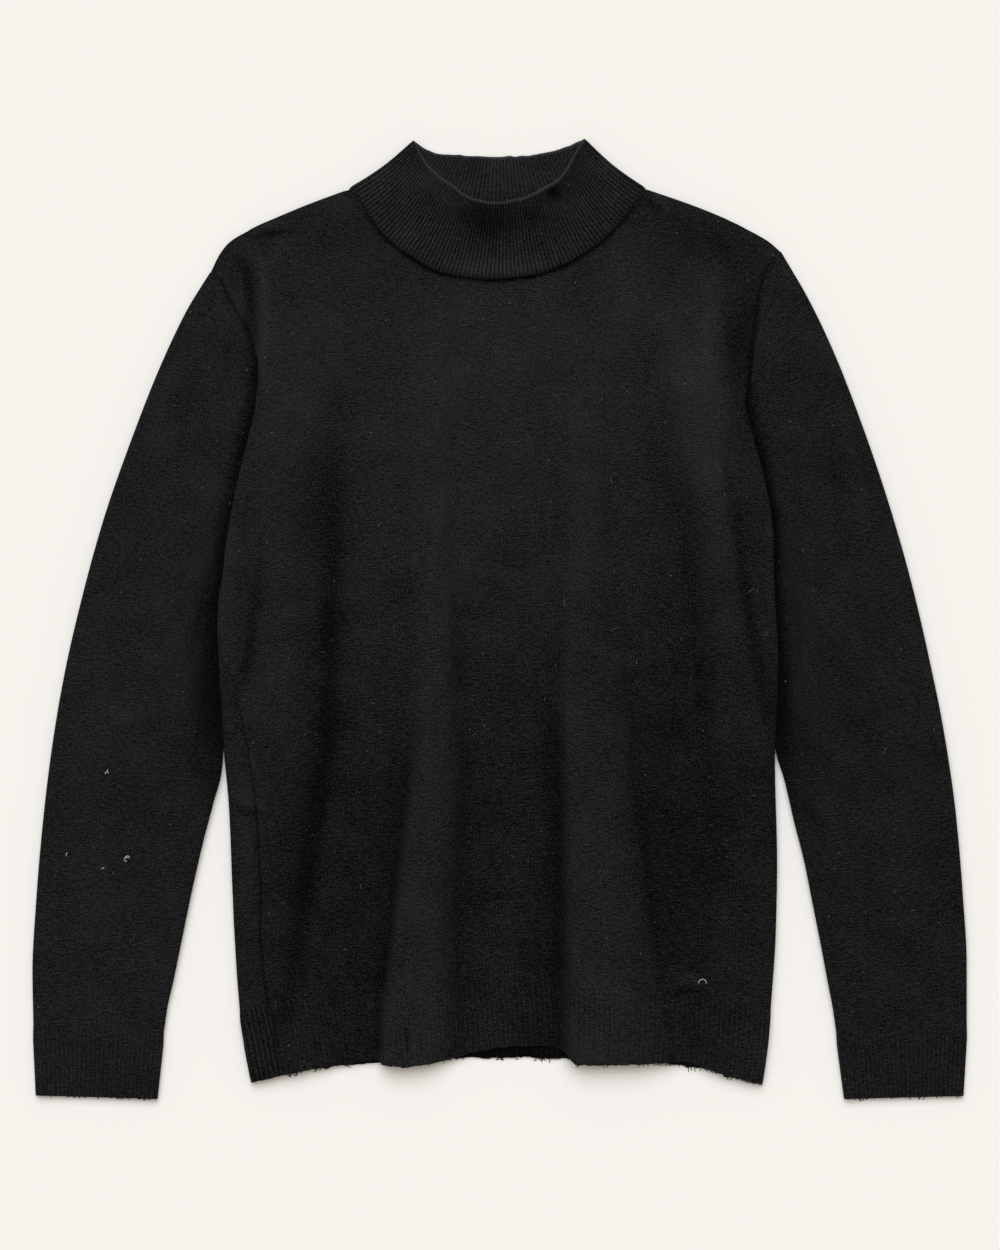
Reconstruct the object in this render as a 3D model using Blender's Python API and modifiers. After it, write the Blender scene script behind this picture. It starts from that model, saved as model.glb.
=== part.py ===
"""A turtleneck sweater of fine knit, laid flat with its sleeves down beside the body.

Sizes are in millimetres until the meshes are made, which are in metres. +Z is up, the collar points
to +Y, and the surface that the sweater lies on is z = 0. Left and right are the wearer's, so the left
sleeve is at +X. Each piece is worked out as the middle surface of its cloth and then given its wall.
"""
from collections import namedtuple
from functools import lru_cache

import bpy
import numpy as np

MM = 0.001

# Cloth
CLOTH = 1.4             # thickness of the knit
RIB_RISE = 0.5          # how far a rib stands above the plain cloth
SEAM = 0.3              # gap between two pieces where they are sewn
REST = CLOTH / 2        # height of the middle of cloth that lies on the surface
HEM_BAND = 58.5         # height of the hem's rib band
HEM_RIB_PITCH = 4.0
COLLAR_RIBS = 84        # on the front half of the collar
CUFF_RIBS = 28          # on the upper half of a cuff

LEFT = 1
RIGHT = -1
MIDDLE = (-0.31, 0.34, 0.0)     # the middle of the sweater's outline, which becomes the origin

# The body's two sides, from the hem up. edge is how far out from the middle the body's outline is. There
# the front turns down round a bend of the given radius, to cloth at the height under. seam is the length
# of cloth from the top of that bend to the seam: below zero the seam lies on top of the body, and past
# half a turn it is underneath.
SideRow = namedtuple("SideRow", "y edge radius under seam")
BODY_SIDES = {
    RIGHT: (
        SideRow(-362, 192.7, 3.0, 0.7, -22.0),
        SideRow(-330, 198.9, 3.0, 0.7, -22.0),
        SideRow(-297, 202.8, 3.2, 0.7, -19.0),
        SideRow(-250, 205.9, 3.2, 0.7, -16.5),
        SideRow(-209, 208.0, 3.2, 0.7, -19.0),
        SideRow(-148, 210.4, 3.2, 0.7, -18.0),
        SideRow(-97, 215.4, 3.2, 0.7, -15.0),
        SideRow(-64, 218.5, 3.2, 0.7, -9.6),
        SideRow(-48, 219.8, 3.2, 0.8, -6.0),
        SideRow(-34, 220.8, 3.0, 2.3, -0.1),
        SideRow(-20, 221.6, 2.8, 4.3, 3.9),
        SideRow(-8, 222.0, 2.7, 6.0, 10.1),
        SideRow(2, 222.0, 2.7, 6.0, 12.7),
        SideRow(14, 221.2, 2.7, 6.0, 15.0),
        SideRow(32, 218.4, 2.7, 6.0, 16.0),
        SideRow(57, 215.3, 2.7, 6.0, 16.0),
        SideRow(86, 209.8, 2.7, 6.0, 16.0),
        SideRow(109, 204.4, 2.7, 6.0, 16.0),
        SideRow(138, 198.1, 2.7, 6.0, 16.0),
        SideRow(146, 196.4, 2.7, 6.0, 15.0),
        SideRow(168, 191.9, 2.7, 6.0, 10.5),
        SideRow(190, 189.6, 2.7, 6.0, 6.0),
        SideRow(202, 189.2, 2.4, 6.0, 3.6),
        SideRow(240, 188.0, 1.7, 4.4, 3.0),
        SideRow(268, 188.0, 1.2, 3.4, 3.0),
    ),
    LEFT: (
        SideRow(-362, 203.6, 3.2, 0.7, 14.0),
        SideRow(-330, 208.0, 3.2, 0.7, 14.0),
        SideRow(-294, 210.9, 3.2, 0.7, 14.0),
        SideRow(-245, 214.1, 3.2, 0.7, 14.0),
        SideRow(-190, 215.2, 3.2, 0.7, 14.0),
        SideRow(-110, 214.4, 3.2, 0.7, 14.0),
        SideRow(-63, 216.6, 3.2, 0.7, 14.0),
        SideRow(-48, 216.8, 3.2, 1.4, 14.0),
        SideRow(-34, 216.8, 2.8, 4.0, 14.0),
        SideRow(-22, 216.6, 2.5, 6.0, 14.5),
        SideRow(28, 214.5, 2.7, 6.0, 16.0),
        SideRow(66, 213.7, 2.7, 6.0, 16.0),
        SideRow(106, 208.3, 2.7, 6.0, 15.0),
        SideRow(119, 205.1, 2.7, 6.0, 13.0),
        SideRow(146, 197.3, 2.7, 6.0, 8.5),
        SideRow(168, 191.4, 2.4, 6.0, 3.6),
        SideRow(198, 181.0, 2.0, 5.0, 3.0),
        SideRow(225, 178.0, 1.8, 4.4, 3.0),
        SideRow(286, 176.0, 1.2, 3.4, 3.0),
    ),
}
TAIL = 30               # length of front cloth that is laid out with each side
UNDER_REACH = 12        # how far in the back's columns follow a side on the surface
COLUMN_GAP = 1.2        # least spacing of columns that crowd at a seam

# The armhole seams, from the underarm up: how far out they lie, and the height there of the middle of
# the front's cloth and of the sleeve's upper cloth. They hide under the body's fold as far as swing,
# where the front swings from being folded back over the seam to lying flat beside it.
ArmholeRow = namedtuple("ArmholeRow", "y out front sleeve")
ARMHOLES = {
    RIGHT: (
        ArmholeRow(-16, 221.0, 5.6, 4.0),
        ArmholeRow(4, 217.1, 5.6, 3.6),
        ArmholeRow(16, 212.0, 5.6, 3.6),
        ArmholeRow(36, 207.0, 5.6, 3.6),
        ArmholeRow(60, 205.0, 5.6, 3.6),
        ArmholeRow(86, 200.0, 5.6, 3.6),
        ArmholeRow(109, 194.7, 5.6, 3.6),
        ArmholeRow(146, 186.5, 5.6, 3.6),
        ArmholeRow(168, 185.8, 5.6, 3.6),
        ArmholeRow(190, 187.6, 5.6, 3.6),
        ArmholeRow(202, 189.2, 5.6, 3.6),
        ArmholeRow(214, 193.6, 5.2, 3.6),
        ArmholeRow(226, 197.5, 4.4, 4.0),
        ArmholeRow(249, 210.6, 4.2, 4.2),
        ArmholeRow(262, 216.8, 3.6, 3.6),
        ArmholeRow(268, 223.9, 2.5, 2.5),
    ),
    LEFT: (
        ArmholeRow(-20, 215.3, 5.6, 3.7),
        ArmholeRow(-6, 212.8, 5.6, 3.6),
        ArmholeRow(4, 210.8, 5.6, 3.6),
        ArmholeRow(16, 207.0, 5.6, 3.6),
        ArmholeRow(36, 204.8, 5.6, 3.6),
        ArmholeRow(66, 203.7, 5.6, 3.6),
        ArmholeRow(106, 198.0, 5.6, 3.6),
        ArmholeRow(119, 195.8, 5.6, 3.6),
        ArmholeRow(146, 192.6, 5.6, 3.6),
        ArmholeRow(168, 191.4, 5.6, 3.6),
        ArmholeRow(180, 193.6, 5.2, 3.6),
        ArmholeRow(198, 195.3, 4.4, 4.0),
        ArmholeRow(218, 197.3, 4.2, 4.2),
        ArmholeRow(249, 201.2, 4.2, 4.2),
        ArmholeRow(267, 205.0, 4.0, 4.0),
        ArmholeRow(279, 211.0, 3.4, 3.4),
        ArmholeRow(286.5, 218.4, 2.5, 2.5),
    ),
}
SWING = {RIGHT: (196, 212), LEFT: (162, 178)}

# Soft folds of the front: the crest, the width of its steeper and its gentler flank, and its rise.
FoldRow = namedtuple("FoldRow", "y x steep gentle rise")
RIGHT_RIDGE = (
    FoldRow(-362, -80.0, 13, 36, 12.0),
    FoldRow(-258, -74.0, 13, 36, 10.0),
    FoldRow(-140, -66.5, 14, 35, 7.5),
    FoldRow(-20, -60.0, 15, 32, 4.5),
    FoldRow(90, -57.0, 18, 28, 2.0),
    FoldRow(150, -55.0, 20, 26, 0.0),
)
LEFT_RIDGE = (
    FoldRow(-362, 73.0, 14, 56, 12.0),
    FoldRow(-219, 64.0, 14, 52, 9.5),
    FoldRow(-141, 61.0, 14, 47, 8.0),
    FoldRow(-20, 62.0, 14, 38, 5.0),
    FoldRow(80, 61.0, 18, 32, 2.5),
    FoldRow(140, 60.0, 22, 30, 0.0),
)
RIGHT_SWELL = (
    FoldRow(-362, -172.0, 22, 24, 1.0),
    FoldRow(-200, -170.0, 24, 26, 2.0),
    FoldRow(-60, -174.0, 24, 28, 2.0),
    FoldRow(60, -172.0, 24, 28, 0.0),
)
LEFT_SWELL = (
    FoldRow(-340, 186.0, 20, 16, 0.0),
    FoldRow(-160, 186.0, 20, 17, 1.2),
    FoldRow(-63, 184.0, 22, 18, 2.0),
    FoldRow(46, 172.0, 26, 20, 2.6),
    FoldRow(120, 160.0, 28, 22, 2.4),
    FoldRow(171, 148.0, 30, 24, 1.6),
    FoldRow(230, 138.0, 30, 24, 0.0),
)
FRONT_FOLDS = (RIGHT_RIDGE, LEFT_RIDGE, RIGHT_SWELL, LEFT_SWELL)

# How high the middle of the front's cloth lies between its folds, and how far in from each side it
# takes to come down to that.
LevelRow = namedtuple("LevelRow", "y level")
FRONT_LEVEL = (
    LevelRow(-362, 3.4), LevelRow(0, 3.4), LevelRow(150, 4.4), LevelRow(264, 5.2), LevelRow(335, 5.2),
)
SIDE_SLOPE = 38

# Lines that the front's columns follow: the two soft hollows beside the ridges, which end at the neck.
HollowRow = namedtuple("HollowRow", "y right left")
HOLLOWS = (
    HollowRow(-362, -127, 166),
    HollowRow(-200, -132, 164),
    HollowRow(-100, -132, 158),
    HollowRow(0, -130, 150),
    HollowRow(171, -124, 125),
    HollowRow(264, -118, 115),
    HollowRow(335, -117, 110),
)

# The outline across: the hem from side to side, the two shoulders out from the neck, and the neck seam.
EdgeRow = namedtuple("EdgeRow", "x y")
HEM_LINE = (
    EdgeRow(-210, -364), EdgeRow(-193, -361), EdgeRow(-169, -354.7), EdgeRow(-134, -348.6),
    EdgeRow(-95, -344.2), EdgeRow(-89, -346.8), EdgeRow(-76, -350), EdgeRow(-58, -348.4),
    EdgeRow(-35, -343.2), EdgeRow(-20, -336.8), EdgeRow(4, -333), EdgeRow(36, -332),
    EdgeRow(50, -336), EdgeRow(60, -348), EdgeRow(98, -348.6), EdgeRow(145, -345.6),
    EdgeRow(164, -351), EdgeRow(188, -358.4), EdgeRow(214, -363),
)
RIB_LINE = (
    EdgeRow(-210, -305), EdgeRow(-152, -296), EdgeRow(-91, -291), EdgeRow(-58, -292.5),
    EdgeRow(-22, -277), EdgeRow(30, -274.8), EdgeRow(66, -286.5), EdgeRow(98, -289),
    EdgeRow(160, -293), EdgeRow(214, -305),
)
BACK_HEM_LINE = (
    EdgeRow(-210, -364), EdgeRow(-193, -361), EdgeRow(-169, -354.7), EdgeRow(-100, -346),
    EdgeRow(0, -341.6), EdgeRow(90, -343.5), EdgeRow(164, -351), EdgeRow(188, -358.4), EdgeRow(214, -363),
)
SHOULDERS = {
    RIGHT: (
        EdgeRow(117, 334.8), EdgeRow(150.5, 322.4), EdgeRow(173, 313), EdgeRow(194, 303.7),
        EdgeRow(210.6, 294), EdgeRow(217.6, 285), EdgeRow(223.9, 268),
    ),
    LEFT: (
        EdgeRow(113, 334.8), EdgeRow(149, 322.4), EdgeRow(172.4, 313), EdgeRow(192.7, 303.7),
        EdgeRow(209.8, 294), EdgeRow(214.5, 290), EdgeRow(218.4, 286.5),
    ),
}
FRONT_NECK = (
    EdgeRow(-117, 334.8), EdgeRow(-108.4, 324.7), EdgeRow(-91.3, 299.8), EdgeRow(-67, 281),
    EdgeRow(-46, 270.3), EdgeRow(-8.6, 264.9), EdgeRow(26.5, 268.4), EdgeRow(51.5, 277.1),
    EdgeRow(79.6, 295.1), EdgeRow(99.1, 316.1), EdgeRow(113, 334.8),
)
BACK_NECK_DROP = 28
SHOULDER_BEND = 7       # how far below the shoulder line the front starts to turn down
LEVEL_ROW = 190         # below this the rows are level, above it they spread to the shoulders and neck

# The sleeves from the cuff seam up: the two ends of each section across the sleeve, what part of the
# armhole's bow it has, how far it hooks out before it meets the inner edge, and how high the middle of
# its upper cloth lies at its bends and between them.
SleeveRow = namedtuple("SleeveRow", "outer_x outer_y inner_x inner_y bow hook bend level")
SLEEVES = {
    RIGHT: (
        SleeveRow(363.6, -316.8, 262.0, -322.2, 0.00, 0, 5.2, 3.8),
        SleeveRow(364.3, -273.5, 259.0, -302.0, 0.00, 0, 5.6, 4.2),
        SleeveRow(361.3, -218.9, 254.3, -281.0, 0.00, 0, 6.0, 4.6),
        SleeveRow(355.9, -156.5, 248.0, -250.0, 0.00, 0, 6.0, 4.8),
        SleeveRow(348.1, -94.1, 239.5, -209.0, 0.00, 0, 6.0, 4.8),
        SleeveRow(338.6, -39.5, 231.0, -172.0, 0.00, 0, 6.0, 4.8),
        SleeveRow(326.0, 15.1, 223.4, -143.0, 0.00, 0, 6.0, 4.8),
        SleeveRow(308.8, 77.5, 217.6, -117.6, 0.06, 5, 6.0, 4.8),
        SleeveRow(287.0, 139.9, 218.2, -90.0, 0.16, 10, 5.6, 4.7),
        SleeveRow(263.6, 199.1, 221.6, -59.4, 0.34, 15.6, 4.8, 4.3),
        SleeveRow(241.8, 244.4, 223.8, -32.8, 0.62, 16.3, 4.2, 3.9),
        SleeveRow(223.9, 268.0, 221.0, -16.0, 1.00, 0, 4.0, 3.6),
    ),
    LEFT: (
        SleeveRow(363.7, -316.8, 262.0, -322.2, 0.00, 0, 5.2, 3.8),
        SleeveRow(363.6, -267.3, 259.2, -303.0, 0.00, 0, 5.6, 4.2),
        SleeveRow(360.4, -212.7, 255.6, -284.0, 0.00, 0, 6.0, 4.6),
        SleeveRow(354.9, -150.3, 250.2, -254.8, 0.00, 0, 6.0, 4.8),
        SleeveRow(345.5, -86.3, 243.9, -222.8, 0.00, 0, 6.0, 4.8),
        SleeveRow(334.8, -33.3, 236.9, -187.7, 0.00, 0, 6.0, 4.8),
        SleeveRow(321.4, 24.4, 229.4, -158.1, 0.00, 0, 6.0, 4.8),
        SleeveRow(304.2, 85.3, 221.8, -127.7, 0.06, 5, 6.0, 4.8),
        SleeveRow(281.6, 152.3, 217.4, -98.0, 0.16, 10, 5.6, 4.7),
        SleeveRow(259.0, 210.1, 218.8, -66.2, 0.34, 15.1, 4.8, 4.3),
        SleeveRow(238.7, 252.2, 218.2, -38.5, 0.62, 16.5, 4.2, 3.9),
        SleeveRow(218.4, 286.5, 215.3, -20.0, 1.00, 0, 3.7, 3.6),
    ),
}
SLEEVE_RINGS = 12
CUFF_END = {
    RIGHT: SleeveRow(361.1, -370.8, 267.6, -373.6, 0.0, 0, 4.6, 3.6),
    LEFT: SleeveRow(360.5, -371.2, 268.8, -373.6, 0.0, 0, 4.6, 3.6),
}

# The collar's top edge, front and back, from the wearer's right to the left.
COLLAR_FRONT = (
    EdgeRow(-66.3, 372.4), EdgeRow(-59.3, 358.3), EdgeRow(-49.1, 346.6), EdgeRow(-39, 338.8),
    EdgeRow(-19.5, 326.2), EdgeRow(-3, 323.9), EdgeRow(14, 326.2), EdgeRow(32, 334),
    EdgeRow(42.9, 340.3), EdgeRow(51.5, 350.5), EdgeRow(57, 360.6), EdgeRow(64.7, 373.8),
)
COLLAR_BACK = (
    EdgeRow(-66.3, 372.4), EdgeRow(-57, 366), EdgeRow(-44.5, 362.4), EdgeRow(-1.6, 360.4),
    EdgeRow(23.4, 361.4), EdgeRow(42.9, 365.3), EdgeRow(54.6, 369.4), EdgeRow(64.7, 373.8),
)
# Its upper cloth from the neck seam up: the height of the middle of the cloth at mid front, and at the
# two side bends.
CollarRow = namedtuple("CollarRow", "share mid bend")
COLLAR_RISE = (
    CollarRow(0.00, 5.2, 4.6),
    CollarRow(0.30, 7.4, 5.4),
    CollarRow(0.60, 6.8, 5.4),
    CollarRow(0.85, 7.6, 5.2),
    CollarRow(1.00, 8.8, 5.0),
)

# Colours are linear, from the knit's near black
JERSEY_COLOUR = (0.0105, 0.0105, 0.0112, 1.0)
RIB_COLOUR = (0.0098, 0.0098, 0.0104, 1.0)
KNIT_ROUGHNESS = 0.92


# Curves

@lru_cache(maxsize=None)
def column(table, name):
    """One column of a table as an array."""
    return np.array([getattr(row, name) for row in table], float)


def through(knots, values, at):
    """A smooth line through a table's values that never swings past them."""
    at = np.clip(at, knots[0], knots[-1])
    steps = np.diff(knots)
    slopes = np.diff(values) / steps
    before, after = slopes[:-1], slopes[1:]
    same_way = before * after > 0
    turning = np.where(same_way, 2 * before * after / np.where(same_way, before + after, 1), 0)
    tangents = np.concatenate((slopes[:1], turning, slopes[-1:]))
    cell = np.clip(np.searchsorted(knots, at, "right") - 1, 0, len(steps) - 1)
    share = (at - knots[cell]) / steps[cell]
    rest = 1 - share
    level = values[cell] * rest * rest * (1 + 2 * share) + values[cell + 1] * share * share * (3 - 2 * share)
    swing = tangents[cell] * rest * rest * share - tangents[cell + 1] * share * share * rest
    return level + swing * steps[cell]


def read(table, name, at, along="y"):
    """A table's column read at any place along it."""
    return through(column(table, along), column(table, name), at)


def ease(share):
    """0 to 1 with a soft start and end."""
    share = np.clip(share, 0, 1)
    return share * share * (3 - 2 * share)


def spread(points, count):
    """The same line with count points evenly spaced along it."""
    lengths = np.linalg.norm(np.diff(points, axis=0), axis=1)
    along = np.concatenate(([0], np.cumsum(lengths)))
    places = np.linspace(0, along[-1], count)
    return np.stack([np.interp(places, along, points[:, axis]) for axis in range(points.shape[1])], axis=1)


# The body's outline

def shoulder_y(side, out):
    return read(SHOULDERS[side], "y", out, along="x")


def front_neck_y(x):
    return read(FRONT_NECK, "y", x, along="x")


def back_neck_y(x):
    right, left = FRONT_NECK[0], FRONT_NECK[-1]
    middle = (right.x + left.x) / 2
    half = (left.x - right.x) / 2
    sweep = np.clip(1 - ((x - middle) / half) ** 2, 0, 1)
    return right.y - BACK_NECK_DROP * sweep ** 0.8


def top_y(x, neck_y):
    """The upper outline of a panel: its shoulders, and between them its neck line."""
    right = shoulder_y(RIGHT, -x)
    left = shoulder_y(LEFT, x)
    shoulders = np.where(x < 0, right, left)
    in_neck = (x > FRONT_NECK[0].x) & (x < FRONT_NECK[-1].x)
    return np.where(in_neck, neck_y(x), shoulders)


def front_band_line(x, share=1.0):
    """A line across the front's rib band: its lower edge at share 0, the rib line at 1."""
    low = read(HEM_LINE, "y", x, along="x")
    return low + (read(RIB_LINE, "y", x, along="x") - low) * share


def back_band_line(x, share=1.0):
    return read(BACK_HEM_LINE, "y", x, along="x") + HEM_BAND * share


# The body's cloth in section

def fold_rise(fold, x, y):
    centre = read(fold, "x", y)
    width = np.where(x < centre, read(fold, "steep", y), read(fold, "gentle", y))
    share = np.clip(np.abs(x - centre) / width, 0, 1)
    return read(fold, "rise", y) * (1 - share ** 2) ** 2


def bend_top(side, y):
    rows = BODY_SIDES[side]
    return read(rows, "under", y) + 2 * read(rows, "radius", y)


def front_height(x, y):
    """Height of the middle of the front's cloth at a place on top of the body."""
    level = read(FRONT_LEVEL, "level", y)
    height = level
    for side in (RIGHT, LEFT):
        rows = BODY_SIDES[side]
        inward = read(rows, "edge", y) - read(rows, "radius", y) - TAIL - side * x
        height = height + (bend_top(side, y) - level) * (1 - ease(inward / SIDE_SLOPE))
    for fold in FRONT_FOLDS:
        height = height + fold_rise(fold, x, y)
    return height


def bend_stops(radius):
    """Lengths of cloth, from the top of a side bend, where columns lie round it."""
    half_turn = np.pi * radius
    return [half_turn * share for share in (0, 0.25, 0.5, 0.75, 1)]


def round_side(side, y, along, under):
    """Place of cloth that turns round a side: how far out and how high."""
    rows = BODY_SIDES[side]
    radius = read(rows, "radius", y)
    half_turn = np.pi * radius
    angle = np.clip(along / radius, 0, np.pi)
    out = read(rows, "edge", y) - radius + radius * np.sin(angle)
    out = out + np.minimum(along, 0) - np.maximum(along - half_turn, 0)
    height = under + (bend_top(side, y) - under) * (1 + np.cos(angle)) / 2
    return out, height


def front_tail(side, y, step):
    """A column of the front beside a seam. step is 0 where the front is flat and TAIL_COLUMNS at the seam."""
    rows = BODY_SIDES[side]
    armhole = ARMHOLES[side]
    radius = read(rows, "radius", y)
    seam = read(rows, "seam", y) - SEAM / 2
    stops = [-TAIL, -TAIL * 0.4] + bend_stops(radius) + [seam]
    along = np.minimum(stops[step], seam - (TAIL_COLUMNS - step) * COLUMN_GAP)
    out, height = round_side(side, y, along, read(rows, "under", y))
    height = np.where(along < 0, front_height(side * out, y), height)

    share = step / TAIL_COLUMNS
    start = read(rows, "edge", y) - radius - TAIL
    seam_out = read(armhole, "out", y) - SEAM / 2
    flat_out = start + (seam_out - start) * share
    low = read(armhole, "front", y)
    level = ease((read(rows, "edge", y) + 3 - flat_out) / 7)
    flat_height = low + (front_height(side * flat_out, y) - low) * level

    first, last = SWING[side]
    swing = ease((y - first) / (last - first))
    return out + (flat_out - out) * swing, height + (flat_height - height) * swing


def guide_lines(y):
    """The lines over the front that its columns lie between, from the wearer's right to the left."""
    lines = []
    for side in (RIGHT, LEFT):
        rows = BODY_SIDES[side]
        start = read(rows, "edge", y) - read(rows, "radius", y) - TAIL
        ridge = RIGHT_RIDGE if side == RIGHT else LEFT_RIDGE
        crest = read(ridge, "x", y)
        feet = [crest - read(ridge, "steep", y), crest, crest + read(ridge, "gentle", y)]
        if side == RIGHT:
            lines += [-start, read(HOLLOWS, "right", y)] + feet
        else:
            lines += feet + [read(HOLLOWS, "left", y), start]
    return lines


ZONE_COLUMNS = (2, 2, 3, 3, 3, 3, 4, 2, 2)
TAIL_COLUMNS = 7


def front_columns():
    """Every column of the front: its kind, its zone or side, and its share or step of that."""
    columns = [("tail", RIGHT, step) for step in range(TAIL_COLUMNS, 0, -1)]
    for zone, count in enumerate(ZONE_COLUMNS):
        columns += [("zone", zone, step / count) for step in range(count)]
    return columns + [("tail", LEFT, step) for step in range(TAIL_COLUMNS + 1)]


def front_place(place, y):
    """x and height of one column of the front at y."""
    kind, which, part = place
    if kind == "tail":
        out, height = front_tail(which, y, part)
        return which * out, height
    lines = guide_lines(y)
    x = lines[which] + (lines[which + 1] - lines[which]) * part
    return x, front_height(x, y)


def front_across(line_y, columns, shift=0.0):
    """The front's cloth along a line from side to side, whose y is a function of x."""
    points = []
    for place in columns:
        x = np.array([0.0])
        for _ in range(4):
            slope = line_y(x + 1) - line_y(x)
            y = line_y(x) + shift * np.sqrt(1 + slope ** 2)
            x, height = front_place(place, y)
        points.append((x[0], y[0], height[0]))
    return np.array(points)


# Grids of the flat panels

PANEL_ROWS = (-245, -190, -135, -90, -62, -42, -28, -16, -6, 4, 16, 36, 66, 106, 146, 168, LEVEL_ROW)
TOP_SHARES = (0.16, 0.32, 0.52, 0.75, 0.93, 0.985, 1.0)
STRETCH_ROW = 240       # the row whose spacing the columns keep where they reach the top outline


def stretch_to_top(x, columns_at, neck_ends, tips):
    """Where a panel's columns, at x on the stretch row, meet its top outline."""
    right_neck, left_neck = columns_at
    right_end, left_end = x[0], x[-1]
    top = np.interp(x, (right_neck, left_neck), neck_ends)
    top = np.where(x < right_neck, np.interp(x, (right_end, right_neck), (tips[0], neck_ends[0])), top)
    return np.where(x > left_neck, np.interp(x, (left_neck, left_end), (neck_ends[1], tips[1])), top)


def bend_over_shoulder(x, y, height):
    """The front turns down to the back at its shoulder line."""
    below = top_y(x, front_neck_y) - y
    lowest = REST + CLOTH + SEAM
    turn = np.sqrt(1 - (1 - np.clip(below / SHOULDER_BEND, 0, 1)) ** 2)
    past_neck = np.maximum(FRONT_NECK[0].x - x, x - FRONT_NECK[-1].x)
    amount = ease((past_neck + 1) / 6)
    return height - (height - lowest) * (1 - turn) * amount


def front_grid():
    columns = front_columns()
    rows = [front_across(front_band_line, columns, shift=SEAM / 2)]
    for y in PANEL_ROWS:
        placed = [front_place(place, np.array([float(y)])) for place in columns]
        rows.append(np.array([(x[0], y, height[0]) for x, height in placed]))
    stretch_x = np.array([front_place(place, np.array([float(STRETCH_ROW)]))[0][0] for place in columns])
    hollows = (read(HOLLOWS, "right", STRETCH_ROW), read(HOLLOWS, "left", STRETCH_ROW))
    neck_ends = (FRONT_NECK[0].x, FRONT_NECK[-1].x)
    tips = (-(ARMHOLES[RIGHT][-1].out - SEAM / 2), ARMHOLES[LEFT][-1].out - SEAM / 2)
    top_x = stretch_to_top(stretch_x, hollows, neck_ends, tips)
    top = top_y(top_x, front_neck_y) - SEAM / 2
    at_top = np.array([front_place(place, np.array([end]))[0][0] for place, end in zip(columns, top)])
    for share in TOP_SHARES:
        y = LEVEL_ROW + (top - LEVEL_ROW) * share
        placed = [front_place(place, np.array([end])) for place, end in zip(columns, y)]
        x = np.array([one[0][0] for one in placed]) + (top_x - at_top) * ease(share)
        height = np.array([one[1][0] for one in placed])
        rows.append(np.stack([x, y, bend_over_shoulder(x, y, height)], axis=1))
    return np.array(rows)


BACK_TAIL_COLUMNS = 6
BACK_FLOOR_COLUMNS = 12
# Over these rows the back lets go of the body's side and follows the armhole.
UNDERARM_TURN = {RIGHT: (-30, -15), LEFT: (-30, -6)}


def back_tail(side, y, step):
    """A column of the back beside a side. step is 0 at the seam and BACK_TAIL_COLUMNS where it lies flat."""
    rows = BODY_SIDES[side]
    radius = read(rows, "radius", y)
    seam = read(rows, "seam", y) + SEAM / 2
    stops = [seam] + bend_stops(radius) + [np.pi * radius + UNDER_REACH]
    along = np.maximum(stops[step], seam + step * COLUMN_GAP)
    out, height = round_side(side, y, along, REST)
    inner = read(rows, "edge", y) - radius - UNDER_REACH
    seam_out = read(ARMHOLES[side], "out", y) - SEAM / 2
    flat_out = seam_out + (inner - seam_out) * step / BACK_TAIL_COLUMNS
    first, last = UNDERARM_TURN[side]
    flat = ease((y - first) / (last - first))
    return out + (flat_out - out) * flat, height + (REST - height) * flat


def back_columns():
    """Every column of the back, from the wearer's left to the right, so that it faces down."""
    columns = [("tail", LEFT, step) for step in range(BACK_TAIL_COLUMNS + 1)]
    columns += [("floor", 0, step / BACK_FLOOR_COLUMNS) for step in range(1, BACK_FLOOR_COLUMNS)]
    return columns + [("tail", RIGHT, step) for step in range(BACK_TAIL_COLUMNS, -1, -1)]


def back_place(place, y):
    kind, which, part = place
    if kind == "tail":
        out, height = back_tail(which, y, part)
        return which * out, height
    left = back_tail(LEFT, y, BACK_TAIL_COLUMNS)[0]
    right = -back_tail(RIGHT, y, BACK_TAIL_COLUMNS)[0]
    return left + (right - left) * part, np.full_like(y, REST)


def back_across(line_y, columns, shift=0.0):
    """The back's cloth along a line from side to side, whose y is a function of x."""
    points = []
    for place in columns:
        x = np.array([0.0])
        for _ in range(4):
            y = line_y(x) + shift
            x, height = back_place(place, y)
        points.append((x[0], y[0], height[0]))
    return np.array(points)


def back_grid():
    columns = back_columns()
    rows = [back_across(back_band_line, columns, shift=SEAM / 2)]
    for y in PANEL_ROWS:
        placed = [back_place(place, np.array([float(y)])) for place in columns]
        rows.append(np.array([(x[0], y, height[0]) for x, height in placed]))
    stretch_x = np.array([back_place(place, np.array([float(STRETCH_ROW)]))[0][0] for place in columns])
    inner_right = -back_tail(RIGHT, STRETCH_ROW, BACK_TAIL_COLUMNS)[0]
    inner = (inner_right, back_tail(LEFT, STRETCH_ROW, BACK_TAIL_COLUMNS)[0])
    neck_ends = (FRONT_NECK[0].x, FRONT_NECK[-1].x)
    tips = (-(ARMHOLES[RIGHT][-1].out - SEAM / 2), ARMHOLES[LEFT][-1].out - SEAM / 2)
    top_x = stretch_to_top(stretch_x[::-1], inner, neck_ends, tips)[::-1]
    top = top_y(top_x, back_neck_y) - SEAM / 2
    at_top = np.array([back_place(place, np.array([end]))[0][0] for place, end in zip(columns, top)])
    for share in TOP_SHARES:
        y = LEVEL_ROW + (top - LEVEL_ROW) * share
        x = np.array([back_place(place, np.array([end]))[0][0] for place, end in zip(columns, y)])
        x = x + (top_x - at_top) * ease(share)
        rows.append(np.stack([x, y, np.full_like(x, REST)], axis=1))
    return np.array(rows)


# Tubes that lie flat: sleeves, cuffs and the collar

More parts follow.
